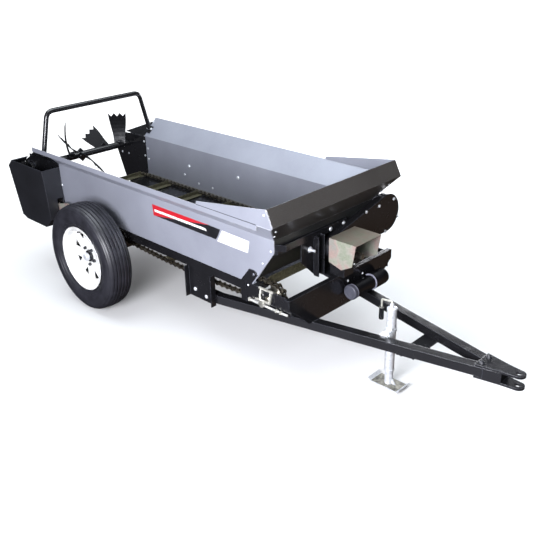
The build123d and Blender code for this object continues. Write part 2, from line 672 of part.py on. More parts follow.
# ---------------------------------------------------------------- parking jack
def jack_mount():
    """Pipe stub on the inner face of the right drawbar beam."""
    face = -(beam_face_y(jack_x) - beam_width)
    return rod("y", face - 8, jack_y - jack_tube_radius - 8.3, 26, jack_x, jack_pivot_z) \
        - plate_xy([(jack_x - 60, -(beam_face_y(jack_x - 60) - beam_width)),
                    (jack_x + 60, -(beam_face_y(jack_x + 60) - beam_width)),
                    (jack_x + 60, -300), (jack_x - 60, -300)], 200, 400)


def jack_tube():
    """Outer tube with its swivel ring."""
    tube = rod("z", jack_tube_bottom, jack_tube_top, jack_tube_radius, jack_x, jack_y)
    cap = rod("z", jack_tube_top - 14, jack_tube_top, jack_tube_radius + 0.5, jack_x, jack_y)
    bore = rod("z", jack_tube_bottom - 1, jack_tube_top - 6, jack_leg_radius + 0.4, jack_x, jack_y)
    y0 = jack_y - jack_tube_radius
    ring = rod("y", y0 - 25, y0 + 3, 31, jack_x, jack_pivot_z) - rod("y", y0 - 26, y0 - 8, 26.05, jack_x, jack_pivot_z)
    return tube + cap + ring - bore


def jack_crank():
    """Cranked handle on the tube's cap, with its grip hanging behind."""
    top = jack_tube_top + 36
    path = FilletPolyline((jack_x, jack_y, jack_tube_top), (jack_x, jack_y, top),
                          (jack_x - crank_throw, jack_y, top - 8), (jack_x - crank_throw, jack_y, top - 62),
                          radius=8)
    wire = sweep(Plane(origin=path @ 0, z_dir=path % 0) * Circle(5), path=path)
    grip = rod("z", top - 122, top - 52, 12, jack_x - crank_throw, jack_y)
    return wire + grip


def jack_leg():
    """Inner tube, foot plate with turned-up ends and a gusset."""
    tube = rod("z", 5, jack_tube_top - 60, jack_leg_radius, jack_x, jack_y)
    half = foot_length / 2
    sole = bent_sheet([(-half, 22), (-half + 14, 6), (half - 14, 6), (half, 22)], 6)
    foot = plate_xz([(jack_x + a, b) for a, b in sole], jack_y - foot_width / 2, jack_y + foot_width / 2)
    gusset = plate_xz([(jack_x + 15, 5), (jack_x + 45, 5), (jack_x + 28, 34), (jack_x + 15, 34)], jack_y - 3, jack_y + 3)
    return tube + foot + gusset


# ---------------------------------------------------------------- wheels, built about +Y at the origin
def spin(points):
    """Revolve an outline of (axial, radial) points about the wheel's axis, +Y."""
    return revolve(Plane.YX * face_of(points), axis=Axis.Y)


def tyre():
    w = tyre_width / 2
    r = tyre_radius
    b = bead_radius - 0.4
    side = [(56, b), (62, flange_radius + 3), (w - 6, 232), (w, 268), (w - 3, 300), (w - 14, r - 14), (62, r - 2)]
    groove = 6.0
    tread = []
    for a in (38.0, 0.0, -38.0):
        tread += [(a + groove, r - 0.5), (a + groove - 2, r - 9), (a - groove + 2, r - 9), (a - groove, r - 0.5)]
    return spin(side + tread + [(-a, q) for a, q in side[::-1]])


def rim():
    h = rim_half_width
    barrel = [(-h, flange_radius), (-h + 5, bead_radius), (-36, bead_radius - 2.5), (-28, 168), (10, 168),
              (20, bead_radius - 2.5), (h - 5, bead_radius), (h, flange_radius)]
    shell = spin(bent_sheet(barrel, 4))
    disc = [(-4, 164.5), (7, 159), (13, 150), (12, 103), (disc_offset + 2, 80), (disc_offset, 74), (disc_offset, 41)]
    plate_disc = spin(bent_sheet(disc, 5))
    windows = None
    for i in range(8):
        cut = Rot(0, 45 * i + 22.5, 0) * plate_xz([(-20, 150), (20, 150), (0, 107)], -10, 60)
        windows = cut if windows is None else windows + cut
    bolts = None
    for i in range(5):
        hole = Rot(0, 72 * i + 36, 0) * rod("y", 0, 60, 6.5, 0, 57)
        bolts = hole if bolts is None else bolts + hole
    return shell + plate_disc - windows - bolts


def hub():
    """Hub barrel, wheel flange, pilot, domed dust cap and five studs with hexagon nuts."""
    seat = disc_offset - 5.3
    solid = spin([(-58, 0), (-58, hub_radius), (seat - 24, hub_radius), (seat - 9, 46), (seat - 9, 70), (seat, 70),
                  (seat, 37), (disc_offset + 9, 36), (disc_offset + 10, 25), (40, 25), (45, 21), (46, 0)])
    for i in range(5):
        nut = Pos(0, disc_offset + 0.2, 57) * Rot(-90, 0, 0) * extrude(RegularPolygon(11, 6), amount=13)
        solid = solid + Rot(0, 72 * i + 36, 0) * (rod("y", seat - 1, disc_offset + 17, 6, 0, 57) + nut)
    bore = rod("y", -60, 34 + 2, spindle_radius + run_gap, 0, 0)
    return solid - bore


# ---------------------------------------------------------------- write every node
for name, side in SIDES:
    save(f"side_panel_{name}", flip(side_panel(), side))
    save(f"wing_{name}", flip(wing(), side))
    save(f"main_rail_{name}", flip(main_rail(), side))
    save(f"drawbar_beam_{name}", flip(drawbar_beam(), side))
    save(f"rear_plate_{name}", flip(rear_plate_side(), side))
    for node, make in (("tyre", tyre), ("rim", rim), ("hub", hub)):
        at = Pos(0, side * wheel_plane_y, tyre_radius)
        save(f"{node}_{name}", at * flip(make(), side))

save("front_wall", front_wall())
save("front_hood", front_hood())
save("floor_pan", floor_pan())
save("floor_crossmembers", *floor_crossmembers())
save("axle", axle())
save("drawbar_hangers", drawbar_hanger(), flip(drawbar_hanger(), -1))
save("takeup_plates", takeup_plate(), flip(takeup_plate(), -1))
save("takeup_blocks", takeup_block(), flip(takeup_block(), -1))
save("front_crossmember", front_crossmember())
save("drawbar_brace", drawbar_brace())
save("hitch_clevis", hitch_clevis())
save("apron_conveyor", apron_conveyor())
save("conveyor_shafts", conveyor_shaft(front_shaft_x, wall_outer_y + 14, wall_outer_y + 14),
     conveyor_shaft(rear_shaft_x, wall_outer_y + 60, wall_outer_y + 28))
save("rear_guard_bar", rear_guard_bar())
save("drive_guard", drive_guard())
save("ratchet", ratchet())
bearing_bore = beater_stub_radius + run_gap
save("shaft_bearings",
     flange_bearing(beater_x, beater_z, -1)
     - rod("y", -plate_outer_y - 90, -plate_outer_y + 9, bearing_bore, beater_x, beater_z),
     flange_bearing(rear_shaft_x, shaft_z, 1)
     - rod("y", plate_outer_y - 9, plate_outer_y + 90, 15.3, rear_shaft_x, shaft_z))
save("beater", beater())
save("gearbox_mount", gearbox_mount())
save("gearbox", gearbox())
save("pto_stub", pto_stub())
save("gearbox_shield", gearbox_shield())
save("chain_case", chain_case())
save("side_drive", side_drive())
save("canister", canister())
save("jack_mount", jack_mount())
save("jack_tube", jack_tube())
save("jack_crank", jack_crank())
save("jack_leg", jack_leg())

# the origin goes under the middle of the whole machine's box
boxes = [s.bounding_box() for solids in nodes.values() for s in solids]
frame_shift = -(min(b.min.X for b in boxes) + max(b.max.X for b in boxes)) / 2
print("frame shift", round(frame_shift, 3))
for node, solids in nodes.items():
    moved = [Pos(frame_shift, 0, 0) * s for s in solids]
    export_step(Compound(children=moved) if len(moved) > 1 else moved[0], f"parts/{node}.step")
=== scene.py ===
"""Looks of a small towed manure spreader.

Metallic grey box sheets, gloss black frame and guards, white wheels, a toothed black beater,
zinc plated jack and fasteners, and a steel chain conveyor. Metres, +X towards the hitch,
+Y the machine's left side, +Z up. Places are given in millimetres from the axle's centre line.
"""
import json
from math import asin, atan2, cos, hypot, pi, radians, sin

import bmesh
import bpy
from mathutils import Matrix, Vector


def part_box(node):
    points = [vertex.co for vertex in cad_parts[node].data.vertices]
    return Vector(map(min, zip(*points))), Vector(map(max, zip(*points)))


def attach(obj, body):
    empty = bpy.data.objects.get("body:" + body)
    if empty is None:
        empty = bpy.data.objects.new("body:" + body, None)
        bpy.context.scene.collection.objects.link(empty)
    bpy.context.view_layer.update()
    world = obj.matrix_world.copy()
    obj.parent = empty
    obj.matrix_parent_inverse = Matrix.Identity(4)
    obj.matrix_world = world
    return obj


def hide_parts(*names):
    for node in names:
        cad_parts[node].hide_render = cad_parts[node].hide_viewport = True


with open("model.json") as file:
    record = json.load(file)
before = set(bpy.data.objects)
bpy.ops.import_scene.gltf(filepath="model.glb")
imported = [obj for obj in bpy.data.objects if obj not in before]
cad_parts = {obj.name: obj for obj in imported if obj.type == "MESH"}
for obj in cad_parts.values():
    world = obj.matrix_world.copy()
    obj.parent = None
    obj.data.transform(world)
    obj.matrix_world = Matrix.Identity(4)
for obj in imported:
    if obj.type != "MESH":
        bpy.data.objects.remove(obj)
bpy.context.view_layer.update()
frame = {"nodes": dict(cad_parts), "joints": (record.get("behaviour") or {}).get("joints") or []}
nodes = frame["nodes"]
joints = {j["name"]: j for j in frame["joints"]}
MM = 0.001
SIDES = (("left", 1), ("right", -1))
# ways to face, as the left side has them
OUT, IN, FORE, UP, DOWN = (0, 1, 0), (0, -1, 0), (1, 0, 0), (0, 0, 1), (0, 0, -1)
OFF_FLARE = (0, -1, 1)  # square to the inside of the flare
axle_x = joints["wheel_left_spin"]["pos_m"][0]


def at(x, y, z):
    """The point x ahead of the axle, y to the left and z above the ground, in millimetres."""
    return Vector((axle_x + x * MM, y * MM, z * MM))


def loose(x, y, z):
    """A point of a loose part, in millimetres about its own origin."""
    return Vector((x, y, z)) * MM


def span(node, axis):
    """Lowest and highest coordinate of a CAD node, in millimetres; x counts from the axle."""
    low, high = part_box(node)
    base = axle_x if axis == 0 else 0.0
    return (low[axis] - base) / MM, (high[axis] - base) / MM


# sizes that the pieces share, in millimetres
FOOT_FLANGE = 25
SHEET = 3
wall_y = span("side_panel_left", 1)[0] + FOOT_FLANGE  # inner face of a side wall
skin_y = wall_y + SHEET  # its outer face
flare_y = span("side_panel_left", 1)[1]
rail_top = span("main_rail_left", 2)[1]
crease_z = rail_top + 293  # where the walls lean out
box_front = span("front_wall", 0)[1]
box_rear = span("side_panel_left", 0)[0] + 7
cross_x = span("front_crossmember", 0)[1]
SPROCKET_TIP = 61.66
rear_shaft = span("conveyor_shafts", 0)[0] + SPROCKET_TIP
front_shaft = span("conveyor_shafts", 0)[1] - SPROCKET_TIP
shaft_z = rail_top - 45
chain_y = wall_y - 57
chain_r = 57.0  # pitch circle of the sprockets
chain_run = front_shaft - rear_shaft
LINKS, LINKS_TO_SLAT, LINKS_AT_JOIN = 108.0, 8, 4  # the join has four links more between slats
chain_step = (2 * chain_run + 2 * pi * chain_r) / LINKS
tyre_r = joints["wheel_left_spin"]["pos_m"][2] / MM
tyre_y = sum(span("tyre_left", 1)) / 2
beater_x = (joints["beater_spin"]["pos_m"][0] - axle_x) / MM
beater_z = joints["beater_spin"]["pos_m"][2] / MM
jack_x = sum(span("jack_tube", 0)) / 2
jack_y = span("jack_tube", 1)[1] - 26
jack_top = span("jack_tube", 2)[1]
pto_z = joints["pto_spin"]["pos_m"][2] / MM
pto_end = span("pto_stub", 0)[1]
case_x = span("chain_case", 0)[1]
clevis_x = span("hitch_clevis", 0)[0]
HANGER_Y = 395.9  # outer face of the drawbar's hangers
BEAM_REAR = 1002  # where the drawbar's beams start to converge
beam_rear_y, BEAM_FRONT_Y = wall_y - 18, 58  # outer face of a beam at its two ends
beam_front = cross_x + 872
beam_slope = (beam_rear_y - BEAM_FRONT_Y) / (beam_front - BEAM_REAR)
HOOD_OUT, HOOD_UP = 104, 127  # lean of the hood's lower leaf
hood_low = Vector((HOOD_UP, 0, -HOOD_OUT)).normalized()


# ---------------------------------------------------------------- nodes
# kinds of node that come up often
NOISE, RAMP, MIX, BUMP = "ShaderNodeTexNoise", "ShaderNodeValToRGB", "ShaderNodeMix", "ShaderNodeBump"
MAP_RANGE, MATH, VECTOR_MATH = "ShaderNodeMapRange", "ShaderNodeMath", "ShaderNodeVectorMath"
GEOMETRY, SEPARATE, COMBINE = "ShaderNodeNewGeometry", "ShaderNodeSeparateXYZ", "ShaderNodeCombineXYZ"


def feed(tree, node, values):
    """Set or link a node's inputs, by name or place. A node stands for its first live output."""
    for key, value in values.items():
        if isinstance(value, bpy.types.Node):
            value = next(out for out in value.outputs if out.enabled)
        if isinstance(value, bpy.types.NodeSocket):
            tree.links.new(value, node.inputs[key])
        else:
            node.inputs[key].default_value = value


def add(tree, kind, values=None, stops=(), **settings):
    """Add a node with its settings, colour stops ((place, hex), ...) and inputs."""
    made = tree.nodes.new(kind)
    for key, value in settings.items():
        setattr(made, key, value)
    if stops:
        band = made.color_ramp.elements
        while len(band) < len(stops):
            band.new(0.5)
        for element, (place, code) in zip(band, stops):
            element.position = place
            element.color = rgb(code)
    feed(tree, made, values or {})
    return made


def rgb(code):
    """Linear colour of an sRGB hex value."""
    parts = [int(code[i:i + 2], 16) / 255 for i in (1, 3, 5)]
    linear = [c / 12.92 if c <= 0.04045 else ((c + 0.055) / 1.055) ** 2.4 for c in parts]
    return (*linear, 1.0)


def material(name):
    """A new material: itself, its tree, its shader node and the object's own coordinates in metres."""
    made = bpy.data.materials.new(name)
    made.use_nodes = True
    tree = made.node_tree
    return made, tree, tree.nodes["Principled BSDF"], add(tree, "ShaderNodeTexCoord").outputs["Object"]


def worn_and_highlit_edges(tree, width):
    """A mask, 1 along the edges of a piece and 0 elsewhere, for an edge colour that is partly finish rubbed
    thin and partly painted highlight; and the normal of its edges rounded by a width in millimetres, which
    catch the light as folded sheet and rolled tube do."""
    rounded = add(tree, "ShaderNodeBevel", {"Radius": width * MM}, samples=4)
    flat = add(tree, GEOMETRY).outputs["Normal"]
    facing = add(tree, VECTOR_MATH, {0: rounded, 1: flat}, operation="DOT_PRODUCT").outputs["Value"]
    return add(tree, MAP_RANGE, {"Value": facing, "From Min": 0.80, "From Max": 0.985,
                                 "To Min": 1.0, "To Max": 0.0}), rounded


# ---------------------------------------------------------------- materials
def mottled(name, pattern, stops, gloss, grain, relief, more=None):
    """A finish whose colour and gloss follow one noise, with a pattern (size, detail, roughness), over a
    fine grain with a relief (depth, strength). Sizes are in millimetres."""
    made, tree, shader, place = material(name)
    size, detail, rough = pattern
    cloud = add(tree, NOISE, {"Vector": place, "Scale": 1000 / size, "Detail": detail, "Roughness": rough})
    fine = add(tree, NOISE, {"Vector": place, "Scale": 1000 / grain, "Detail": 2.0})
    feed(tree, shader, {
        "Base Color": add(tree, RAMP, {"Fac": cloud}, stops),
        "Roughness": add(tree, MAP_RANGE, {"Value": cloud, "To Min": gloss[0], "To Max": gloss[1]}),
        "Normal": add(tree, BUMP, {"Height": fine, "Distance": relief[0] * MM, "Strength": relief[1]}),
        **(more or {})})
    return made


def metallic_grey(name, light, dark, metal):
    """Silver-grey powder coat on the box sheets: aluminium flake under a clear skin gives a soft,
    slightly blue sheen, with faint clouds where the spray lapped and a lighter line along folded edges,
    partly chalk and partly painted highlight."""
    made, tree, shader, place = material(name)
    # flake is 0.1 mm in life and drawn at 1.6 mm, the finest that shows
    flake = add(tree, NOISE, {"Vector": place, "Scale": 1000 / 1.6, "Detail": 2.0})
    lap = add(tree, NOISE, {"Vector": place, "Scale": 1000 / 380, "Detail": 4.0, "Roughness": 0.6})
    peel = add(tree, NOISE, {"Vector": place, "Scale": 1000 / 5, "Detail": 2.0})
    base = add(tree, RAMP, {"Fac": lap}, ((0.30, dark), (0.70, light)))
    speck = add(tree, RAMP, {"Fac": flake}, ((0.30, dark), (0.62, light), (0.74, "#dfe2ea")))
    body = add(tree, MIX, {0: 0.30, 6: base, 7: speck}, data_type="RGBA")
    edge_wear_and_highlight, rounded = worn_and_highlit_edges(tree, 3.0)
    feed(tree, shader, {
        # the light edge line is partly chalked coat and partly painted highlight
        "Base Color": add(tree, MIX, {0: edge_wear_and_highlight, 6: body, 7: rgb("#d2d4da")}, data_type="RGBA"),
        "Roughness": add(tree, MAP_RANGE, {"Value": lap, "To Min": 0.34, "To Max": 0.46}),
        "Normal": add(tree, BUMP, {"Height": peel, "Distance": 0.05 * MM, "Strength": 0.5,
                                   "Normal": rounded}),
        "Metallic": metal, "Coat Weight": 0.3, "Coat Roughness": 0.15})
    return made


def gloss_black(name, deep, lifted, low, high, coat):
    """Black powder coat on frame, plates and guards: orange peel in the reflections, a greyer line along
    the edges that is partly thin coat and partly painted highlight, and a film of handling dust that dulls it
    in patches."""
    made, tree, shader, place = material(name)
    tone = add(tree, NOISE, {"Vector": place, "Scale": 1000 / 210, "Detail": 3.0})
    film = add(tree, NOISE, {"Vector": place, "Scale": 1000 / 55, "Detail": 4.0, "Roughness": 0.6})
    peel = add(tree, NOISE, {"Vector": place, "Scale": 1000 / 3.2, "Detail": 2.0})
    base = add(tree, RAMP, {"Fac": tone}, ((0.3, deep), (0.75, lifted)))
    edge_wear_and_highlight, rounded = worn_and_highlit_edges(tree, 4.0)
    feed(tree, shader, {
        # the greyer edge line is partly thin coat and partly painted highlight
        "Base Color": add(tree, MIX, {0: edge_wear_and_highlight, 6: base, 7: rgb("#44464e")}, data_type="RGBA"),
        "Roughness": add(tree, MAP_RANGE, {"Value": film, "From Min": 0.3, "From Max": 0.75,
                                           "To Min": low, "To Max": high}),
        "Normal": add(tree, BUMP, {"Height": peel, "Distance": 0.06 * MM, "Strength": 0.5,
                                   "Normal": rounded}),
        "Coat Weight": coat, "Coat Roughness": 0.2})
    return made


def white_enamel():
    """Stoved white enamel on the pressed rims: bright and smooth, a little warmer where dust lies. The
    barrel behind the disc and the faces turned inwards are coloured near black as painted shade, so the
    windows look black."""
    made, tree, shader, place = material("white_wheel_enamel")
    dust = add(tree, NOISE, {"Vector": place, "Scale": 1000 / 45, "Detail": 5.0, "Roughness": 0.65})
    peel = add(tree, NOISE, {"Vector": place, "Scale": 1000 / 6, "Detail": 2.0})
    enamel = add(tree, RAMP, {"Fac": dust}, ((0.28, "#dcdbd6"), (0.55, "#eeeeec")))
    # painted shade: the barrel behind the disc and the faces turned inwards are coloured near black
    across = add(tree, SEPARATE, {0: place}).outputs["Y"]
    facing = add(tree, SEPARATE, {0: add(tree, GEOMETRY).outputs["Normal"]}).outputs["Y"]
    deep = add(tree, MAP_RANGE, {"Value": add(tree, MATH, {0: across}, operation="ABSOLUTE"),
                                 "From Min": (tyre_y - 3) * MM, "From Max": (tyre_y - 7) * MM})
    inward = add(tree, MATH, {0: facing, 1: across}, operation="MULTIPLY")
    back = add(tree, MAP_RANGE, {"Value": inward, "From Min": -0.03, "From Max": -0.10})
    painted_shade_behind_disc = add(tree, MATH, {0: deep, 1: back}, operation="MAXIMUM")
    feed(tree, shader, {
        "Base Color": add(tree, MIX, {0: painted_shade_behind_disc, 6: enamel, 7: rgb("#141312")}, data_type="RGBA"),
        "Roughness": add(tree, MAP_RANGE, {"Value": dust, "To Min": 0.34, "To Max": 0.22}),
        "Normal": add(tree, BUMP, {"Height": peel, "Distance": 0.05 * MM, "Strength": 0.4}),
        "Coat Weight": 0.3})
    return made


def zinc_plate(name, dark, light, low, high, metal):
    """Bright zinc on the jack, take-up frames and bolts: bluish metal with a soft crystalline mottle."""
    return mottled(name, (16, 4.0, 0.6), ((0.3, dark), (0.65, light)), (high, low), 1.5, (0.02, 0.4),
                   {"Metallic": metal})


def yellow_chromate():
    """Yellow chromate over zinc: the film's thickness wanders, so its colour drifts from straw through
    green to rose, with the sheet's grain under it, and painted shade darkening what faces up."""
    made, tree, shader, place = material("yellow_zinc_chromate")
    film = add(tree, NOISE, {"Vector": place, "Scale": 1000 / 75, "Detail": 5.0, "Distortion": 0.3})
    grain = add(tree, NOISE, {"Vector": place, "Scale": 1000 / 6, "Detail": 4.0, "Roughness": 0.7})
    hue = add(tree, RAMP, {"Fac": film}, ((0.26, "#b3ab94"), (0.38, "#9fab92"), (0.48, "#bcb8ab"),
                                          (0.58, "#c5a49c"), (0.70, "#aba8a0")))
    fleck = add(tree, RAMP, {"Fac": grain}, ((0.3, "#8f8b7a"), (0.7, "#e2dfd8")))
    body = add(tree, MIX, {0: 0.28, 6: hue, 7: fleck}, data_type="RGBA")
    # painted shade: faces turned upwards are darkened towards a dull brown grey
    up = add(tree, SEPARATE, {0: add(tree, GEOMETRY).outputs["Normal"]}).outputs["Z"]
    painted_top_shade = add(tree, MAP_RANGE, {"Value": up, "From Min": 0.7, "From Max": 0.95, "To Max": 0.75})
    feed(tree, shader, {
        "Base Color": add(tree, MIX, {0: painted_top_shade, 6: body, 7: rgb("#6f6a5c")}, data_type="RGBA"),
        "Roughness": add(tree, MAP_RANGE, {"Value": grain, "To Min": 0.28, "To Max": 0.44}),
        "Normal": add(tree, BUMP, {"Height": grain, "Distance": 0.03 * MM, "Strength": 0.5}),
        "Metallic": 0.55})
    return made


def oiled_steel(name, stops, rubbed_and_highlit, low, high, metal):
    """Bare carbon steel with oil and handling on it: brown-black in the hollows, bright along the edges,
    partly where it rubs and partly as painted highlight.
    """
    made, tree, shader, place = material(name)
    patch = add(tree, NOISE, {"Vector": place, "Scale": 1000 / 11, "Detail": 4.0, "Roughness": 0.65})
    base = add(tree, RAMP, {"Fac": patch}, stops)
    edge_wear_and_highlight, _ = worn_and_highlit_edges(tree, 0.9)
    feed(tree, shader, {
        # the bright edge colour is partly rubbed steel and partly painted highlight
        "Base Color": add(tree, MIX, {0: edge_wear_and_highlight, 6: base, 7: rgb(rubbed_and_highlit)}, data_type="RGBA"),
        "Roughness": add(tree, MAP_RANGE, {"Value": patch, "To Min": low, "To Max": high}),
        "Normal": add(tree, BUMP, {"Height": patch, "Distance": 0.1 * MM, "Strength": 0.5}),
        "Metallic": metal})
    return made


def tyre_rubber():
    """Carbon black rubber: matt, with a satin bloom on the sidewall and a greyer film of dust."""
    return mottled("tyre_rubber", (60, 5.0, 0.6), ((0.30, "#1c1c21"), (0.75, "#2e2e35")), (0.32, 0.50), 1.4,
                   (0.05, 0.6), {"Specular IOR Level": 0.55})


def moulded_plastic(name, code, lifted, low, high):
    """Injection moulded polypropylene: even colour with a fine spark-eroded grain and soft gloss."""
    return mottled(name, (35, 3.0, 0.5), ((0.3, code), (0.75, lifted)), (low, high), 1.4, (0.05, 0.5))


def cut_vinyl(name, code, faded):
    """Cut vinyl film: even colour, a trace of fading, and the panel's peel telegraphing through its gloss."""
    return mottled(name, (130, 3.0, 0.5), ((0.3, code), (0.8, faded)), (0.28, 0.38), 5, (0.03, 0.4))


GREY = metallic_grey("metallic_grey_powder_coat", "#a5a8b4", "#9396a2", 0.35)
# the hood and the front wall wear the box's grey coat darkened as painted shade, the front wall darkest
HOOD_GREY_IN_PAINTED_SHADE = metallic_grey("grey_powder_coat_painted_shade", "#6d6966", "#5f5c59", 0.6)
WALL_GREY_IN_PAINTED_SHADE = metallic_grey("grey_powder_coat_painted_deep_shade", "#3f4142", "#343636", 0.6)
BLACK = gloss_black("gloss_black_powder_coat", "#121214", "#19191c", 0.18, 0.30, 0.4)
SATIN = gloss_black("satin_black_guard_coat", "#1a1b1f", "#222328", 0.30, 0.44, 0.25)
WHITE = white_enamel()
ZINC = zinc_plate("bright_zinc_plate", "#cfd4da", "#f4f6f9", 0.24, 0.36, 0.45)
DULL_ZINC = zinc_plate("handled_zinc_plate", "#aeaca0", "#dad8d0", 0.34, 0.50, 0.5)
SCUFFED_ZINC = zinc_plate("scuffed_zinc_plate", "#3a3a36", "#8f8d82", 0.36, 0.52, 0.5)
CHROMATE = yellow_chromate()
CHAIN = oiled_steel("oiled_chain_steel", ((0.32, "#1d1a17"), (0.52, "#453f36"), (0.70, "#81796a")),
                    "#bbb5a4", 0.30, 0.48, 0.8)
ROLLER = oiled_steel("polished_chain_rollers", ((0.32, "#2c2a26"), (0.50, "#4a463d"), (0.66, "#7a7465")),
                     "#a8a293", 0.22, 0.36, 0.9)
SLAT = oiled_steel("rolled_slat_steel", ((0.30, "#3c3a2a"), (0.50, "#575442"), (0.72, "#746f5a")),
                   "#8f8970", 0.38, 0.55, 0.5)
SHAFT = oiled_steel("turned_shaft_steel", ((0.30, "#6a665c"), (0.50, "#8f8b80"), (0.70, "#b5b1a6")),
                    "#d0ccc2", 0.26, 0.40, 0.9)
RUBBER = tyre_rubber()
PLASTIC = moulded_plastic("black_polypropylene", "#08080a", "#101013", 0.14, 0.24)
CAP = moulded_plastic("grey_cap_polypropylene", "#3f4049", "#4d4e59", 0.40, 0.52)
# the light lavender of the tube's rings is painted highlight
RING_PAINTED_HIGHLIGHT = moulded_plastic("lavender_ring_plastic_painted_highlight", "#7c7c8c", "#9595a4", 0.40, 0.52)
RED = cut_vinyl("red_vinyl", "#ad1420", "#b82a35")
JET = cut_vinyl("black_vinyl", "#131316", "#232327")
PURE = cut_vinyl("white_vinyl", "#f2f2ee", "#e6e6e2")

# every CAD node that isn't named here is gloss black: frame, drawbar, plates, drive and beater
finishes = {
    GREY: ("side_panel_left", "side_panel_right", "wing_left", "wing_right"),
    # front hood and front wall: the grey coat darkened as painted shade
    HOOD_GREY_IN_PAINTED_SHADE: ("front_hood",),
    WALL_GREY_IN_PAINTED_SHADE: ("front_wall",),
    SATIN: ("drive_guard",),
    WHITE: ("rim_left", "rim_right"),
    ZINC: ("jack_tube", "jack_leg", "jack_mount"),
    DULL_ZINC: ("jack_crank", "takeup_blocks"),
    CHROMATE: ("gearbox_shield", "ratchet"),
    SHAFT: ("conveyor_shafts", "pto_stub"),
    CHAIN: ("apron_conveyor",),
    RUBBER: ("tyre_left", "tyre_right"),
    PLASTIC: ("canister",),
}
finish_of = {name: finish for finish, names in finishes.items() for name in names}
for name, node in nodes.items():
    node.data.materials.clear()
    node.data.materials.append(finish_of.get(name, BLACK))


# ---------------------------------------------------------------- mesh helpers
def shaded(mesh, degrees=32.0):
    """Smooth shading, with edges sharp where they turn by more than an angle."""
    mesh.shade_smooth()
    mesh.set_sharp_from_angle(angle=radians(degrees))
    return mesh


def opened(mesh, merge=0.001):
    """A mesh opened for editing, with its split corners merged."""
    form = bmesh.new()
    form.from_mesh(mesh)
    bmesh.ops.remove_doubles(form, verts=form.verts, dist=merge * MM)
    return form


def closed(form, mesh=None, smooth=32.0):
    """An edited form as a shaded mesh."""
    mesh = mesh or bpy.data.meshes.new("part")
    form.to_mesh(mesh)
    form.free()
    return shaded(mesh, smooth)


def placed(name, data):
    """A new object in the scene."""
    made = bpy.data.objects.new(name, data)
    bpy.context.scene.collection.objects.link(made)
    return made


def baked(helper):
    """The mesh that a helper object makes; the helper is taken away."""
    mesh = bpy.data.meshes.new_from_object(helper.evaluated_get(bpy.context.evaluated_depsgraph_get()))
    bpy.data.objects.remove(helper)
    return mesh


def solid(corners, faces, smooth=32.0, where=at):
    """Closed mesh facing outwards, from corners in millimetres about the axle's line."""
    mesh = bpy.data.meshes.new("part")
    mesh.from_pydata([where(*corner) for corner in corners], [], faces)
    form = opened(mesh, 0.01)
    bmesh.ops.recalc_face_normals(form, faces=form.faces)
    return closed(form, mesh, smooth)


def band(count, first, second):
    """Faces between two rings of count corners that start at first and second."""
    return [(first + j, first + (j + 1) % count, second + (j + 1) % count, second + j) for j in range(count)]


def around(axis, steps):
    """Unit vectors square to an axis, spread evenly round it."""
    along = Vector(axis).normalized()
    side = along.orthogonal().normalized()
    up = along.cross(side)
    return [side * cos(a) + up * sin(a) for a in (2 * pi * i / steps for i in range(steps))]


def circle(centre, axis, radius, steps=48):
    """Points round a circle."""
    return [tuple(Vector(centre) + out * radius) for out in around(axis, steps)]


def turned(outline, centre, axis, steps=40, smooth=32.0, where=at):
    """Closed outline of (along, radius) turned about an axis through centre."""
    along = Vector(axis).normalized()
    count = len(outline)
    corners, faces = [], []
    for i, out in enumerate(around(axis, steps)):
        corners += [Vector(centre) + along * run + out * radius for run, radius in outline]
        faces += band(count, i * count, (i + 1) % steps * count)
    return solid(corners, faces, smooth, where)


def sleeve(start, end, inner, outer):
    """Outline of a plain tube, or of a rod when inner is 0."""
    return [(start, inner), (start, outer), (end, outer), (end, inner)]


def lathed(outline, steps, axis=UP, centre=(0, 0, 0)):
    """Loose part turned about an axis of its own."""
    return turned(outline, centre, axis, steps, where=loose)


def lofted(rings, where=at):
    """Solid through rings of equally many corners."""
    count = len(rings[0])
    last = (len(rings) - 1) * count
    faces = [tuple(range(count)), tuple(range(last + count - 1, last - 1, -1))]
    for start in range(0, last, count):
        faces += band(count, start, start + count)
    return solid([corner for ring in rings for corner in ring], faces, where=where)


def prism(outline, push, where=at):
    """Flat outline of (x, y, z) corners given thickness along push."""
    return lofted([[Vector(c) for c in outline], [Vector(c) + Vector(push) for c in outline]], where)


def plate(x, y, z, push):
    """Rectangular plate given thickness along push; x, y and z are one number or (from, to)."""
    (x0, x1), (y0, y1), (z0, z1) = (v if isinstance(v, tuple) else (v, v) for v in (x, y, z))
    return prism([(x0, y0, z0), (x1, y0, z0), (x1, y1, z1), (x0, y1, z1)], push)


def pipe(path, radius, ring=False, order=0):
    """Round bar along a path of (x, y, z) points; order 3 or more bends it smoothly."""
    line = bpy.data.curves.new("line", "CURVE")
    line.dimensions = "3D"
    line.bevel_depth = radius * MM
    line.bevel_resolution = 3
    line.use_fill_caps = True
    run = line.splines.new("NURBS" if order else "POLY")
    run.points.add(len(path) - 1)
    for point, place in zip(run.points, path):
        point.co = (*at(*place), 1.0)
    run.use_cyclic_u = ring
    if order:
        run.order_u = order
        run.use_endpoint_u = not ring
    mesh = shaded(baked(placed("line", line)), 40)
    mesh.materials.clear()
    return mesh


def joined(*meshes):
    """One mesh of several."""
    form = bmesh.new()
    for mesh in meshes:
        form.from_mesh(mesh)
    made = bpy.data.meshes.new("part")
    form.to_mesh(made)
    form.free()
    return made


def keep(name, mesh, finish, body="frame", replaced=()):
    """A finished piece: its mesh, its material, the body it rides on and the CAD nodes it stands for."""
    mesh.name = name
    if finish:
        mesh.materials.clear()
        mesh.materials.append(finish)
    piece = placed(name, mesh)
    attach(piece, body)
    if replaced:
        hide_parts(*replaced)


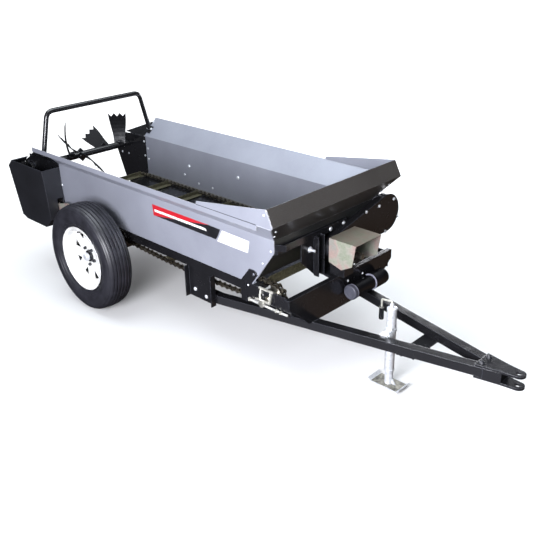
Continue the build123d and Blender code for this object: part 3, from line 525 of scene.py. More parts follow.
# ---------------------------------------------------------------- growing trees
ATTRIBUTE, OBJECT = "GeometryNodeInputNamedAttribute", "GeometryNodeObjectInfo"
SET_ON, ALIGN = "GeometryNodeInstanceOnPoints", "FunctionNodeAlignRotationToVector"


def new_group(name, inputs, output, kind):
    """A Geometry Nodes group with named inputs of their kinds and one output."""
    tree = bpy.data.node_groups.new(name, "GeometryNodeTree")
    for label, label_kind in inputs.items():
        tree.interface.new_socket(label, in_out="INPUT", socket_type="NodeSocket" + label_kind)
    tree.interface.new_socket(output, in_out="OUTPUT", socket_type="NodeSocket" + kind)
    return tree, add(tree, "NodeGroupInput").outputs


def new_tree(name, *sizes):
    """A tree with geometry in and out, a named number for each size, a part to repeat and a finish."""
    inputs = {"Geometry": "Geometry", **dict.fromkeys(sizes, "Float"), "Part": "Object", "Finish": "Material"}
    return new_group(name, inputs, "Geometry", "Geometry")


def close_tree(tree, given, geometry):
    """End a tree with real meshes that carry their finish."""
    real = add(tree, "GeometryNodeRealizeInstances", {"Geometry": geometry})
    done = add(tree, "GeometryNodeSetMaterial", {"Geometry": real, "Material": given["Finish"]})
    add(tree, "NodeGroupOutput", {"Geometry": done})
    return tree


def grown(name, tree, base, finish, part=None, body="frame", replaced=(), smooth=35.0, **sizes):
    """A finished piece that a tree makes from a base mesh; sizes set its inputs by identifier."""
    helper = placed(name + "_base", base)
    pattern = placed(name + "_part", part) if part else None
    modifier = helper.modifiers.new("grow", "NODES")
    modifier.node_group = tree
    wanted = {**{key.replace("_", " ").title(): value for key, value in sizes.items()},
              "Part": pattern, "Finish": finish}
    for socket in tree.interface.items_tree:
        if socket.in_out == "INPUT" and socket.name in wanted:
            modifier[socket.identifier] = wanted[socket.name]
    mesh = baked(helper)
    if pattern:
        bpy.data.objects.remove(pattern)
    keep(name, shaded(mesh, smooth), finish, body, replaced)


def marks(spots):
    """Points of (x, y, z) with the way each one faces and its turn, as a base for hardware."""
    mesh = bpy.data.meshes.new("marks")
    mesh.from_pydata([at(*place) for place, _, _ in spots], [], [])
    facing = mesh.attributes.new("facing", "FLOAT_VECTOR", "POINT")
    facing.data.foreach_set("vector", [v for _, way, _ in spots for v in Vector(way).normalized()])
    turn = mesh.attributes.new("turn", "FLOAT", "POINT")
    turn.data.foreach_set("value", [radians(angle) for _, _, angle in spots])
    return mesh


def path_mesh(points, ring=False):
    """A line of edges through (x, y, z) points, as a base for what follows a path."""
    mesh = bpy.data.meshes.new("path")
    edges = [(i, i + 1) for i in range(len(points) - 1)] + ([(len(points) - 1, 0)] if ring else [])
    mesh.from_pydata([at(*point) for point in points], edges, [])
    return mesh


def hardware_tree():
    """Sets a part, modelled standing on +Z, on every mark, facing its way and turned about itself."""
    tree, given = new_tree("set_hardware")
    way = add(tree, ATTRIBUTE, {"Name": "facing"}, data_type="FLOAT_VECTOR").outputs[0]
    turn = add(tree, ATTRIBUTE, {"Name": "turn"}, data_type="FLOAT").outputs[0]
    aimed = add(tree, ALIGN, {"Vector": way}, axis="Z")
    spun = add(tree, "FunctionNodeAxisAngleToRotation", {"Angle": turn})
    both = add(tree, "FunctionNodeRotateRotation", {"Rotation": aimed, "Rotate By": spun},
               rotation_space="LOCAL")
    part = add(tree, OBJECT, {"Object": given["Part"]}).outputs["Geometry"]
    return close_tree(tree, given, add(tree, SET_ON, {
        "Points": given["Geometry"], "Instance": part, "Rotation": both}))


def path_tree():
    """Strings a part, modelled along +Z, on a path at an even spacing."""
    tree, given = new_tree("string_on_path", "Spacing")
    line = add(tree, "GeometryNodeMeshToCurve", {"Mesh": given["Geometry"]})
    places = add(tree, "GeometryNodeCurveToPoints", {"Curve": line, "Length": given["Spacing"]},
                 mode="LENGTH").outputs
    part = add(tree, OBJECT, {"Object": given["Part"]}).outputs["Geometry"]
    return close_tree(tree, given, add(tree, SET_ON, {
        "Points": places["Points"], "Instance": part, "Rotation": places["Rotation"]}))


def ring_tree():
    """Repeats a part round the +Z axis through the base's first point, at a radius."""
    tree, given = new_tree("repeat_round", "Count", "Radius")
    ring = add(tree, "GeometryNodeMeshCircle", {"Vertices": given["Count"], "Radius": given["Radius"]})
    step = add(tree, MATH, {0: 2 * pi, 1: given["Count"]}, operation="DIVIDE")
    angle = add(tree, MATH, {0: add(tree, "GeometryNodeInputIndex"), 1: step}, operation="MULTIPLY")
    spun = add(tree, COMBINE, {"Z": angle})
    part = add(tree, OBJECT, {"Object": given["Part"]}).outputs["Geometry"]
    array = add(tree, SET_ON, {"Points": ring, "Instance": part, "Rotation": spun})
    way = add(tree, ATTRIBUTE, {"Name": "facing"}, data_type="FLOAT_VECTOR").outputs[0]
    aimed = add(tree, ALIGN, {"Vector": way}, axis="Z")
    return close_tree(tree, given, add(tree, SET_ON, {
        "Points": given["Geometry"], "Instance": array, "Rotation": aimed}))


LOOP_SIZES = ("Run", "Radius", "Sag", "Hanging")


def loop_place():
    """Where a distance along the conveyor's loop lies, from the rear shaft's top. The lower run hangs
    by Sag between the front shaft and the axle, Hanging behind it."""
    sizes = dict.fromkeys(("Distance", *LOOP_SIZES), "Float")
    tree, given = new_group("loop_place", sizes, "Place", "Vector")
    half_turn = add(tree, MATH, {0: given["Radius"], 1: pi}, operation="MULTIPLY")
    start, done = 0.0, []
    for length in (given["Run"], half_turn, given["Run"], half_turn):
        end = add(tree, MATH, {0: start, 1: length}, operation="ADD")
        done.append(add(tree, MAP_RANGE, {"Value": given["Distance"], "From Min": start, "From Max": end,
                                          "To Max": length}))
        start = end
    out, front, back, rear = done
    turned_by = add(tree, MATH, {0: front, 1: rear}, operation="ADD")
    angle = add(tree, MATH, {0: turned_by, 1: given["Radius"]}, operation="DIVIDE")
    sine, cosine = (add(tree, MATH, {0: angle}, operation=kind) for kind in ("SINE", "COSINE"))
    straight = add(tree, MATH, {0: out, 1: back}, operation="SUBTRACT")
    x = add(tree, MATH, {0: given["Radius"], 1: sine, 2: straight}, operation="MULTIPLY_ADD")
    along = add(tree, MAP_RANGE, {"Value": back, "From Max": given["Hanging"]})
    left_over = add(tree, MATH, {0: 1.0, 1: along}, operation="SUBTRACT")
    bow = add(tree, MATH, {0: along, 1: left_over}, operation="MULTIPLY")
    deepest = add(tree, MATH, {0: given["Sag"], 1: -4.0}, operation="MULTIPLY")
    drop = add(tree, MATH, {0: bow, 1: deepest}, operation="MULTIPLY")
    z = add(tree, MATH, {0: given["Radius"], 1: cosine, 2: drop}, operation="MULTIPLY_ADD")
    add(tree, "NodeGroupOutput", {"Place": add(tree, COMBINE, {"X": x, "Z": z})})
    return tree


def loop_tree():
    """Lays a part along the conveyor's loop every Step, each aimed at the place Reach further on. Those past
    number Join After are moved on by Join Gap."""
    tree, given = new_tree("lay_along_loop", *LOOP_SIZES, "Step", "Count", "Reach", "Join After", "Join Gap",
                           "Ahead", "Across", "Above")
    place = loop_place()
    turns = add(tree, MATH, {0: given["Radius"], 1: 2 * pi}, operation="MULTIPLY")
    runs = add(tree, MATH, {0: given["Run"], 1: 2.0}, operation="MULTIPLY")
    total = add(tree, MATH, {0: turns, 1: runs}, operation="ADD")
    index = add(tree, "GeometryNodeInputIndex")
    late = add(tree, MATH, {0: index, 1: given["Join After"]}, operation="GREATER_THAN")
    even = add(tree, MATH, {0: index, 1: given["Step"]}, operation="MULTIPLY")
    here = add(tree, MATH, {0: late, 1: given["Join Gap"], 2: even}, operation="MULTIPLY_ADD")
    ahead = add(tree, MATH, {0: here, 1: given["Reach"]}, operation="ADD")
    places = []
    for distance in (here, ahead):
        inputs = {key: given[key] for key in LOOP_SIZES}
        inputs["Distance"] = add(tree, MATH, {0: distance, 1: total}, operation="MODULO")
        places.append(add(tree, "GeometryNodeGroup", inputs, node_tree=place))
    way = add(tree, VECTOR_MATH, {0: places[1], 1: places[0]}, operation="SUBTRACT")
    aimed = add(tree, ALIGN, {"Vector": way}, axis="X", pivot_axis="Y")
    points = add(tree, "GeometryNodePoints", {"Count": given["Count"], "Position": places[0]})
    laid = add(tree, SET_ON, {"Points": points, "Instance": given["Geometry"], "Rotation": aimed})
    start = add(tree, COMBINE, {"X": given["Ahead"], "Y": given["Across"], "Z": given["Above"]})
    return close_tree(tree, given, add(tree, "GeometryNodeTransform", {
        "Geometry": laid, "Translation": start}))


HARDWARE = hardware_tree()
ON_PATH = path_tree()
ROUND = ring_tree()
ALONG_LOOP = loop_tree()


# ---------------------------------------------------------------- fasteners
BURIED = -1.0  # how far a part's foot sits in what carries it


def bolt(head, corner, washer=0.0, stud=0.0, reach=0.0):
    """Hexagon head or nut standing on +Z, chamfered, with its washer and the end of its stud."""
    chamfer = (head, corner * 0.87)
    parts = [lathed([(BURIED, 0), (BURIED, corner), (head * 0.82, corner), chamfer, (head, 0)], 6)]
    if washer:
        parts.append(lathed(sleeve(BURIED, 1.6, 0, washer), 16))
    if stud:
        low, top = head - 1, head + reach
        parts.append(lathed([(low, 0), (low, stud), (top, stud), (top + 1, stud - 1), (top + 1, 0)], 10))
    return joined(*parts)


def dome(radius, height):
    """Round carriage bolt head standing on +Z."""
    return lathed([(BURIED, 0), (BURIED, radius), (0.6, radius), (0.5 * height, 0.88 * radius),
                   (0.82 * height, 0.58 * radius), (height, 0.22 * radius), (height, 0)], 14)


def spots(way, *places, turn=0):
    """Marks at places that all face one way."""
    return [(place, way, turn) for place in places]


def both_sides(left):
    """The same marks on the left and, mirrored, on the right."""
    return left + [((x, -y, z), (a, -b, c), turn) for (x, y, z), (a, b, c), turn in left]


def hood_spot(y, z):
    """A place on the hood's lower leaf."""
    x = (box_front - 3) + (z - crease_z) * HOOD_OUT / HOOD_UP
    return tuple(Vector((x, y, z)) + hood_low * 3.1)


def beam_y(x):
    """Outer face of the left drawbar beam."""
    return beam_rear_y - beam_slope * (x - BEAM_REAR)


def fasten():
    """Bolts, nuts and carriage heads where the sheets and plates are joined."""
    rear_plates = spots(IN, (box_rear + 20, wall_y, rail_top + 199), (box_rear + 20, wall_y, rail_top + 117),
                        (box_rear - 25, skin_y, rail_top + 246), (box_rear - 25, skin_y, rail_top + 136))
    flares = spots(OFF_FLARE, (box_rear + 3, wall_y + 28, crease_z + 28),
                   (box_rear - 4, wall_y + 92, crease_z + 92))
    bearings = spots(IN, (beater_x - 53, skin_y, beater_z - 36), (beater_x - 84, skin_y, beater_z - 87),
                     (beater_x, skin_y, beater_z - 84), (beater_x - 22, skin_y, beater_z + 77))
    stay = spots(OUT, (box_rear + 127, skin_y + 4, rail_top + 146))
    left_wall = spots(IN, *((x, wall_y, rail_top + z) for x, z in ((-235, 82), (-79, 46), (68, 45))))
    sheet_bolts = both_sides(rear_plates + flares + bearings + stay) + left_wall
    grown("sheet_bolt_heads", HARDWARE, marks(sheet_bolts), ZINC, dome(8.5, 4.5))

    corners = spots(OUT, (box_front - 23, skin_y, rail_top + 227), (box_front - 84, skin_y, rail_top + 143),
                    (box_front + 49, flare_y, crease_z + 181), (front_shaft - 146, skin_y + 6, rail_top - 12))
    lugs = spots(FORE, *((cross_x + 4.2, y, rail_top - 47) for y in (31.5, 158.5)))
    hood = spots(hood_low, hood_spot(458, 877), hood_spot(436, 836))
    panel_bolts = both_sides(corners) + lugs + both_sides(hood)
    grown("panel_bolt_heads", HARDWARE, marks(panel_bolts), ZINC, dome(6.5, 4.0))

    hangers = both_sides(spots(OUT, (789, HANGER_Y, 302), (884, HANGER_Y, 283)))
    left_wall = spots(IN, (-176, wall_y, rail_top + 155), (333, wall_y, rail_top + 177))
    back_plate = spots(FORE, *((box_front + 17.6, y, rail_top + 232) for y in (14, 124)))
    grown("carriage_bolt_heads", HARDWARE, marks(hangers + left_wall + back_plate), ZINC, dome(12.5, 6.5))

    cover = spots(FORE, *((case_x, y, z) for y, z in (
        (270, 763), (389, 764), (527, 769), (571, 650), (455, 592))), turn=15)
    pads = spots(OFF_FLARE, *((x, wall_y + 38.6, crease_z + 51.6) for x in (-643, -685)))
    axle = spots(OUT, *((x, skin_y, rail_top - 35) for x in (-70, 70)))
    angle_drive = spots(OUT, *((beater_x + x, span("side_drive", 1)[1], beater_z + z)
                               for x in (-44, 44) for z in (-40, 40)), turn=20)
    frame_bolts = cover + both_sides(pads + axle) + angle_drive
    grown("frame_bolt_heads", HARDWARE, marks(frame_bolts), ZINC, bolt(5.5, 7.5, 9.5))

    beams = spots(DOWN, *((x, side * (beam_y(x) - 26), 260) for x in (beam_front - 404, beam_front - 342)
                          for side in (1, -1)), turn=12)
    clevis = spots(UP, *((clevis_x + 22, y, span("hitch_clevis", 2)[1]) for y in (-34, 34)), turn=25)
    grown("drawbar_nuts", HARDWARE, marks(beams + clevis), BLACK, bolt(9, 11, 15, 6, 5))
    adjuster = spots(FORE, (box_front + 8.2, -144, rail_top + 161), turn=8)
    grown("back_plate_adjuster", HARDWARE, marks(adjuster), ZINC, bolt(10, 12.5, 17, 7.5, 26))


# ---------------------------------------------------------------- weld beads
def bead(name, path, width=3.2, ring=False, body="frame", finish=BLACK, spacing=2.4):
    """Weld bead: overlapping ripples along a path."""
    ripple = lathed([(-0.8 * width, 0), (-0.45 * width, 0.8 * width), (0, width), (0.45 * width, 0.8 * width),
                     (0.8 * width, 0)], 7)
    grown(name, ON_PATH, path_mesh(path, ring), finish, ripple, body, spacing=spacing * MM, smooth=60)


def weld():
    """Beads where the drawbar, jack mount and plates are welded."""
    low, top = span("drawbar_beam_left", 2)
    brace = beam_front - 418
    for name, side in SIDES:
        bead(f"clevis_weld_{name}", [(clevis_x, side * y, top) for y in (beam_y(clevis_x) - 2, 12)])
        bead(f"brace_weld_{name}", [(brace + 1, side * (beam_y(brace) - 5), low),
                                    (brace + 89, side * (beam_y(brace + 89) - 5), low)])
        x, y = cross_x + 0.5, beam_y(cross_x)
        bead(f"crossmember_weld_{name}", [(x, side * (y - 3), top), (x, side * (y - 50), top)])
        x, y = cross_x - 6, side * (skin_y + 6)
        bead(f"takeup_plate_weld_{name}", [(x, y, rail_top - 50), (x, y, rail_top - 2)], 2.6)
    bead("jack_mount_weld", circle((jack_x, 53 - beam_y(jack_x), 303), OUT, 26.5), 3.0, True, finish=ZINC)


# ---------------------------------------------------------------- wheels
GROOVES = ((11.5, 4.2, 9.0), (36.5, 4.2, 9.0), (57.5, 2.4, 4.5))  # each middle, half width and depth
RINGS = ((321, 0.9), (309, 0.7), (303, 0.7), (262, 0.8), (243, 0.9), (238, 0.9), (229, 1.1))  # radius, rise
SHOULDER = 66  # half width of the crowned tread
WINDOWS = 8


def tyre_outline():
    """Half section of a ribbed implement tyre, from the middle of the tread out and down to the bead."""
    def crown(a):
        return tyre_r - 0.4 - 8.5 * (a / SHOULDER) ** 2.4

    path = []
    for groove, half, depth in GROOVES:
        a0, a1 = groove - half, groove + half
        path += [(a0 - 1.0, crown(a0)), (a0, crown(a0) - 1.0), (a0 + 1.2, crown(a0) - depth),
                 (a1 - 1.2, crown(a1) - depth), (a1, crown(a1) - 1.0), (a1 + 1.0, crown(a1))]
    path += [(SHOULDER, crown(SHOULDER)), (70.5, crown(SHOULDER) - 3.0), (74, crown(SHOULDER) - 7.2)]
    wall = [(323, 77.6), (316, 80.2), (300, 82.8), (282, 83.8), (266, 83.4), (250, 81.4), (236, 77.6),
            (224, 72.0), (214, 65.5)]
    for (r0, a0), (r1, a1) in zip(wall, wall[1:]):
        path += [(a0 + (a1 - a0) * k / 3, r0 + (r1 - r0) * k / 3) for k in range(3)]
    # fine raised rings moulded in the sidewall
    for ring, rise in RINGS:
        close = [a for a, r in path if abs(r - ring) < 4.1]
        half = sum(close) / max(1, len(close))
        path += [(half - 0.1, ring + 1.6), (half + rise, ring + 0.5), (half + rise, ring - 0.5),
                 (half - 0.1, ring - 1.6)]
    shoulder = [p for p in path if p[0] < 75.5 and p[1] > 329]
    rest = sorted((p for p in path if p not in shoulder), key=lambda p: -p[1])
    return shoulder + rest + [(63.5, 211), (59.5, 205), (57.5, 199), (56, 190.2)]


def wheels():
    """Tyres, rim welds, valves and dust caps of the two wheels."""
    half = tyre_outline()
    outline = half + [(-a, r) for a, r in half[::-1]]
    stem = [(-4, 0), (-4, 7.5), (2, 7.5), (5, 4.6), (20, 4.2), (20, 3.2), (24, 3.2), (24, 4.4), (33, 4.4),
            (34, 3.4), (34, 0)]
    cap = [(-20.5, 25.2), (-20.5, 26.2), (-14, 26.2), (-13, 25.4), (-6, 25.4), (-1.5, 22.6), (0.4, 16),
           (1.2, 8), (1.4, 0), (0, 0), (0, 16), (-2, 21.8), (-6, 25.0)]
    disc_y, hub_reach = tyre_y, 46.1  # the disc stands in the wheel's middle
    angle, stem_r, stem_lean = radians(112), 156, 0.25
    x, z = cos(angle), sin(angle)
    for name, side in SIDES:
        body, way = f"wheel_{name}", (0, side, 0)
        tyre = turned(outline, (0, side * tyre_y, tyre_r), way, 144, smooth=38)
        keep(f"ribbed_tyre_{name}", tyre, RUBBER, body, (f"tyre_{name}",))
        rim_weld = circle((0, side * (disc_y + 4.5), tyre_r), OUT, 165.5, 96)
        bead(f"rim_weld_{name}", rim_weld, 2.6, True, body, WHITE, 4.0)
        foot = Vector((x * stem_r, side * (disc_y + 8), tyre_r + z * stem_r))
        lean = Vector((x * stem_lean, side, z * stem_lean)).normalized()
        keep(f"valve_stem_{name}", turned(stem, foot, lean, 14), PLASTIC, body)
        keep(f"dust_cap_{name}", turned(cap, (0, side * (disc_y + hub_reach), tyre_r), way), ZINC, body)


def rims():
    """Pressed rims, the windows of each disc opened out to full size with rounded corners."""
    window = [(0, 154), (-22, 152.5), (-26, 148), (-5, 100), (0, 96.5), (5, 100), (26, 148), (22, 152.5)]
    for name, side in SIDES:
        form = opened(nodes[f"rim_{name}"].data)
        pressed = bpy.data.meshes.new("pressed")
        form.to_mesh(pressed)
        form.free()
        punches = []
        for i in range(WINDOWS):
            a = 2 * pi * (i + 0.5) / WINDOWS
            outline = [(x * cos(a) + z * sin(a), side * (tyre_y - 12),
                        tyre_r + z * cos(a) - x * sin(a)) for x, z in window]
            punches.append(prism(outline, (0, side * 60, 0)))
        rim, punch = placed("rim_base", pressed), placed("rim_punch", joined(*punches))
        cut = rim.modifiers.new("windows", "BOOLEAN")
        cut.operation, cut.solver, cut.object = "DIFFERENCE", "EXACT", punch
        mesh = baked(rim)
        bpy.data.objects.remove(punch)
        keep(f"windowed_rim_{name}", shaded(mesh), WHITE, f"wheel_{name}", (f"rim_{name}",))


# ---------------------------------------------------------------- conveyor
def side_plate(stations, depth):
    """Side plate of a link: (x, half height, y) stations, depth thick along y."""
    return lofted([[(x, y, -half), (x, y + depth, -half), (x, y + depth, half), (x, y, half)]
                   for x, half, y in stations], loose)


def conveyor():
    """Offset-link chains with their rollers, and the angle slats bolted across them."""
    pitch, thick = chain_step, 3.4
    wide, narrow = 11.4, 7.6  # half widths between a link's plates at its two ends
    outline = [(-9, 4.5), (-3, 10), (5, 10), (12, 4.4)]
    outline += [(pitch - x, half) for x, half in outline[::-1]]
    plates = [side_plate([(x, half, wide if x < 13 else narrow) for x, half in outline], thick),
              side_plate([(x, half, -(wide if x < 13 else narrow) - thick) for x, half in outline], thick)]
    link = joined(*plates, lathed(sleeve(-15, 15, 0, 4.4), 6, OUT))
    roller = lathed([(-7.4, 0), (-7.4, 8.2), (-5.6, 9.4), (5.6, 9.4), (7.4, 8.2), (7.4, 0)], 9, OUT)
    loop = dict(run=chain_run * MM, radius=chain_r * MM, above=shaft_z * MM, ahead=axle_x + rear_shaft * MM,
                sag=30 * MM, hanging=front_shaft * MM, replaced=("apron_conveyor",))
    for name, side in SIDES:
        for title, part, finish in (("chain", link, CHAIN), ("rollers", roller, ROLLER)):
            grown(f"apron_{title}_{name}", ALONG_LOOP, part, finish, step=pitch * MM, reach=pitch * MM,
                  count=LINKS, across=side * chain_y * MM, **loop)
    half = chain_y - 14
    section = [(0, -10), (38.5, -10), (40, -8.6), (40, -6.4), (38.5, -5), (8.5, -5), (6, -4.2), (5, -1.8),
               (5, 18.6), (3.8, 20), (1.2, 20), (0, 18.6)]
    angle = prism([(x, -half, z) for x, z in section], (0, 2 * half, 0), loose)
    bolts = [lathed(sleeve(-5.5, 0, 0, 7), 6, centre=(22, y, 0)) for y in (22 - half, half - 22)]
    slats = (LINKS - LINKS_AT_JOIN) / LINKS_TO_SLAT
    grown("apron_slats", ALONG_LOOP, joined(angle, *bolts), SLAT, step=LINKS_TO_SLAT * pitch * MM,
          reach=0.5 * MM, count=slats, across=0.0, join_after=slats / 2, join_gap=LINKS_AT_JOIN * pitch * MM,
          **loop)


def conveyor_shafts():
    """The rear cross shaft, and at the front two stub axles, so that the bay is open between the chains."""
    form = opened(nodes["conveyor_shafts"].data)
    middle, stub = axle_x + front_shaft * MM / 2, (chain_y - 40) * MM
    for y in (-stub, stub):
        ahead = [item for item in (*form.verts, *form.edges, *form.faces)
                 if (item.co if isinstance(item, bmesh.types.BMVert) else item.verts[0].co).x > middle]
        bmesh.ops.bisect_plane(form, geom=ahead, plane_co=(0, y, 0), plane_no=(0, 1, 0))
    spare = [face for face in form.faces
             if (spot := face.calc_center_median()).x > middle and abs(spot.y) < stub]
    bmesh.ops.delete(form, geom=spare, context="FACES")
    bmesh.ops.holes_fill(form, edges=[edge for edge in form.edges if edge.is_boundary])
    keep("conveyor_shaft_set", closed(form), SHAFT, replaced=("conveyor_shafts",))


def takeup_guides():
    """The take-ups: plated guide frames and screws, with the bearing block and its rib painted black."""
    block_rise, rib_rise, rib_half, rib_half_height = 8.1, 20.1, 8.5, 20.5
    rib_x = front_shaft - 42
    form = opened(nodes["takeup_blocks"].data)
    for face in form.faces:
        spot, way = face.calc_center_median() / MM, face.normal
        out = abs(spot.y) - skin_y
        square = max(abs(way.x), abs(way.y), abs(way.z)) > 0.99
        on_rib = (abs(spot.x - axle_x / MM - rib_x) < rib_half and abs(spot.z - shaft_z) < rib_half_height
                  and out < rib_rise)
        face.material_index = int(square and (out < block_rise or on_rib))
    mesh = closed(form)
    mesh.materials.append(DULL_ZINC)
    mesh.materials.append(BLACK)
    keep("takeup_guide_set", mesh, None, replaced=("takeup_blocks",))


# ---------------------------------------------------------------- box details
def box_details():
    """Stripe band, wear strips, dark strips painted as the shadow under the wings' lower edges, and the
    insert and adjuster thread of the take-up.
    """
    thread = lathed([(-0.75, 5.2), (0, 6.7), (0.75, 5.2)], 10)
    for name, side in SIDES:
        def film(title, outline, finish, lift=0.05):
            corners = [(x, side * (skin_y + lift), rail_top + z) for x, z in outline]
            keep(f"{title}_{name}", prism(corners, (0, side * 0.45, 0)), finish)

        film("stripe_red", [(454, 248), (955, 248), (486, 181), (462, 180)], RED)
        film("stripe_black", [(486, 180.5), (955, 247.5), (1046, 246), (1030, 212), (1008, 179)], JET)
        film("stripe_white", [(476, 207), (473, 221), (925, 221), (936, 207)], PURE, 0.51)
        film("stripe_panel", [(1061, 244), (1266, 239), (1254, 171), (1019, 172)], PURE)
        wear = plate((box_rear + 3, box_front - 172), (side * (wall_y - 24.5), side * (wall_y - 0.2)),
                     rail_top + 3.05, (0, 0, 0.6))
        keep(f"wear_strip_{name}", wear, SHAFT)
        # painted shadow: a dark strip where the wing's lower edge meets the flare
        wing_edge_shadow = plate((box_front - 446, box_front - 4), side * (flare_y + 0.02),
                     (crease_z + 116.4, crease_z + 119.6), (0, side * 0.3, 0))
        keep(f"wing_seam_{name}", wing_edge_shadow, SATIN)
        insert = plate((front_shaft - 33, front_shaft + 37), side * (skin_y + 8.05),
                       (shaft_z - 24, shaft_z + 34), (0, side * 0.7, 0))
        keep(f"takeup_insert_{name}", insert, BLACK)
        screw = [(x, side * (skin_y + 15), shaft_z - 43) for x in (front_shaft - 118, cross_x - 24)]
        grown(f"adjuster_thread_{name}", ON_PATH, path_mesh(screw), ZINC, thread, spacing=2.2 * MM)


def case_rim():
    """Rolled rim round the chain case's cover: arcs about its two shafts, joined by straight runs."""
    pto_r, side_r = 57.0, 111.0
    across, rise = span("side_drive", 1)[1] - 52, beater_z - pto_z
    lean = atan2(rise, across)
    opening = asin((side_r - pto_r) / hypot(rise, across))
    near, far = lean - pi / 2 - opening, lean + pi / 2 + opening
    path = []
    for y, z, radius, start, end in ((across, beater_z, side_r, far, near),
                                     (0.0, pto_z, pto_r, near, far - 2 * pi)):
        for i in range(25):
            a = start + (end - start) * i / 24
            path.append((case_x, y + radius * cos(a), z + radius * sin(a)))
    keep("chain_case_rim", pipe(path, 2.4, ring=True), BLACK)


def guard_bar():
    """Bent pipe over the beater on two pads that are bolted to the flares, with its foot welds."""
    x, radius, bend = box_rear + 4, 16.7, 96
    foot = Vector((x, wall_y + 44, crease_z + 44))
    elbow = Vector((x, wall_y - 24, span("rear_guard_bar", 2)[1] - radius))
    rise = (elbow - foot).normalized()
    half = [foot - rise * 4, elbow - rise * bend, elbow, elbow - Vector((0, bend, 0))]
    path = half + [Vector((p.x, -p.y, p.z)) for p in half[::-1]]
    keep("guard_pipe", pipe(path, radius, order=3), BLACK, replaced=("rear_guard_bar",))
    y, z, reach = wall_y + 40.8, crease_z + 41, 21
    for name, side in SIDES:
        pad = plate((x - 30, x + 30), (side * (y - reach), side * (y + reach)), (z - reach, z + reach),
                    (0, -side * 4.2, 4.2))
        keep(f"guard_pipe_pad_{name}", pad, BLACK, replaced=("rear_guard_bar",))
        ring = circle((x, side * (wall_y + 41), crease_z + 50), (0, -side * 0.3, 1), 17.6, 36)
        bead(f"guard_bar_weld_{name}", ring, 2.4, True)


def guard_hem():
    """Folded hem along the top of the drive guard, and the strip that closes it up to the flare."""
    closing = plate((beater_x - 30, box_rear - 20), -(skin_y + 3), (crease_z - 30, crease_z + 2), (0, -2, 0))
    keep("guard_closing_strip", closing, BLACK)
    rear, ahead, z = beater_x - 66, beater_x + 345, beater_z + 65
    outer, inner = span("drive_guard", 1)[0] + 1.5, -(skin_y + 6)
    hem = [(rear, inner, z), (rear, outer, z), (ahead, outer, z + 1), (ahead, inner, z + 1)]
    keep("guard_hem", pipe(hem, 1.8), SATIN)


# ---------------------------------------------------------------- canister
def document_tube():
    """Moulded document tube: ringed cap, clamp lugs and a rounded far end."""
    x, z, back = cross_x + 47, rail_top - 92, cross_x + 0.1
    near, far, join = -7, 296, 176  # its two ends, and where the far half is wider
    lug_wide = 25

    def round_tube(outline):
        return turned(outline, (x, 0, z), OUT, 56)

    parts = [round_tube([(near + 22, 0), (near + 22, 39), (join, 39), (join, 44), (join + 10, 46),
                         (far - 26, 46), (far - 8, 43), (far - 1, 33), (far, 20), (far, 0)])]
    for y in (near + 26, join - 30):
        parts.append(prism([(back, y, z - 8), (back, y, z + 46), (back, y + 5, z + 54),
                            (back, y + lug_wide - 5, z + 54), (back, y + lug_wide, z + 46),
                            (back, y + lug_wide, z - 8)], (4, 0, 0)))
        parts.append(prism([(back, y, z + 14), (x - 10, y, z + 32), (x - 6, y, z + 39.6), (back, y, z + 28)],
                           (0, lug_wide, 0)))
        parts.append(round_tube(sleeve(y, y + lug_wide, 38.3, 40.8)))
    keep("document_tube", joined(*parts), PLASTIC, replaced=("canister",))
    cap = round_tube([(near + 4, 0), (near + 4, 31), (near + 0.4, 34), (near, 37), (near + 2, 40),
                      (near + 4, 41), (near + 22, 41), (near + 25, 40), (near + 25, 0)])
    keep("document_tube_cap", cap, CAP, replaced=("canister",))
    # the rings' light lavender colour is painted highlight
    rings = [round_tube(sleeve(y, y + 4, 38.6, r)) for y, r in ((near + 24.8, 41.4), (join - 3, 46.4))]
    keep("document_tube_rings", joined(*rings), RING_PAINTED_HIGHLIGHT)
    rib = prism([(-0.2, -0.9, 0), (1.6, -0.5, 0), (1.6, 0.5, 0), (-0.2, 0.9, 0)], (0, 0, 15), loose)
    grown("cap_grip_ribs", ROUND, marks(spots(OUT, (x, near + 5, z))), CAP, rib, count=40.0, radius=41 * MM)


# ---------------------------------------------------------------- drive
def splined_stub():
    """Power take-off stub with six splines, a locking groove and a chamfered end."""
    full, root, groove, tip = 17.4, 14.4, 14.2, 13.8

    def station(back, limit, deep):
        """Section at a distance from the end: splines down to deep, nothing past limit."""
        ring = []
        for i in range(6):
            for turn, radius in ((-0.42, deep), (-0.27, deep), (-0.235, full), (0.235, full), (0.27, deep),
                                 (0.42, deep)):
                a, r = radians(60 * (i + turn)), min(radius, limit)
                ring.append((pto_end - back, r * sin(a), pto_z + r * cos(a)))
        return ring

    splines = lofted([station(74, full, full), station(66, full, root), station(33, full, root),
                      station(30, groove, groove), station(23, groove, groove), station(20, full, root),
                      station(4, full, root), station(0, tip, tip)])
    shaft = turned(sleeve(pto_end - 128, pto_end - 73, 0, 15), (0, 0, pto_z), FORE, 32)
    keep("splined_stub", joined(shaft, splines), SHAFT, "pto_stub", ("pto_stub",))


def drive_details():
    """Collars on the side shaft's tube, and the pipe under the brace that holds the safety chain."""
    y = span("side_drive", 1)[1] - 52
    collar = [(-20, 20.8), (-20, 23.4), (-18, 24.4), (18, 24.4), (20, 23.4), (20, 20.8)]
    places = (box_rear + 345, (box_rear + box_front) / 2 + 20, box_front - 244)
    keep("side_shaft_collars", joined(*(turned(collar, (x, y, beater_z), FORE, 32) for x in places)), BLACK)
    keep("chain_pipe", turned(sleeve(-26, 26, 9, 13), (beam_front - 372, 40, 246), FORE, 28), BLACK)


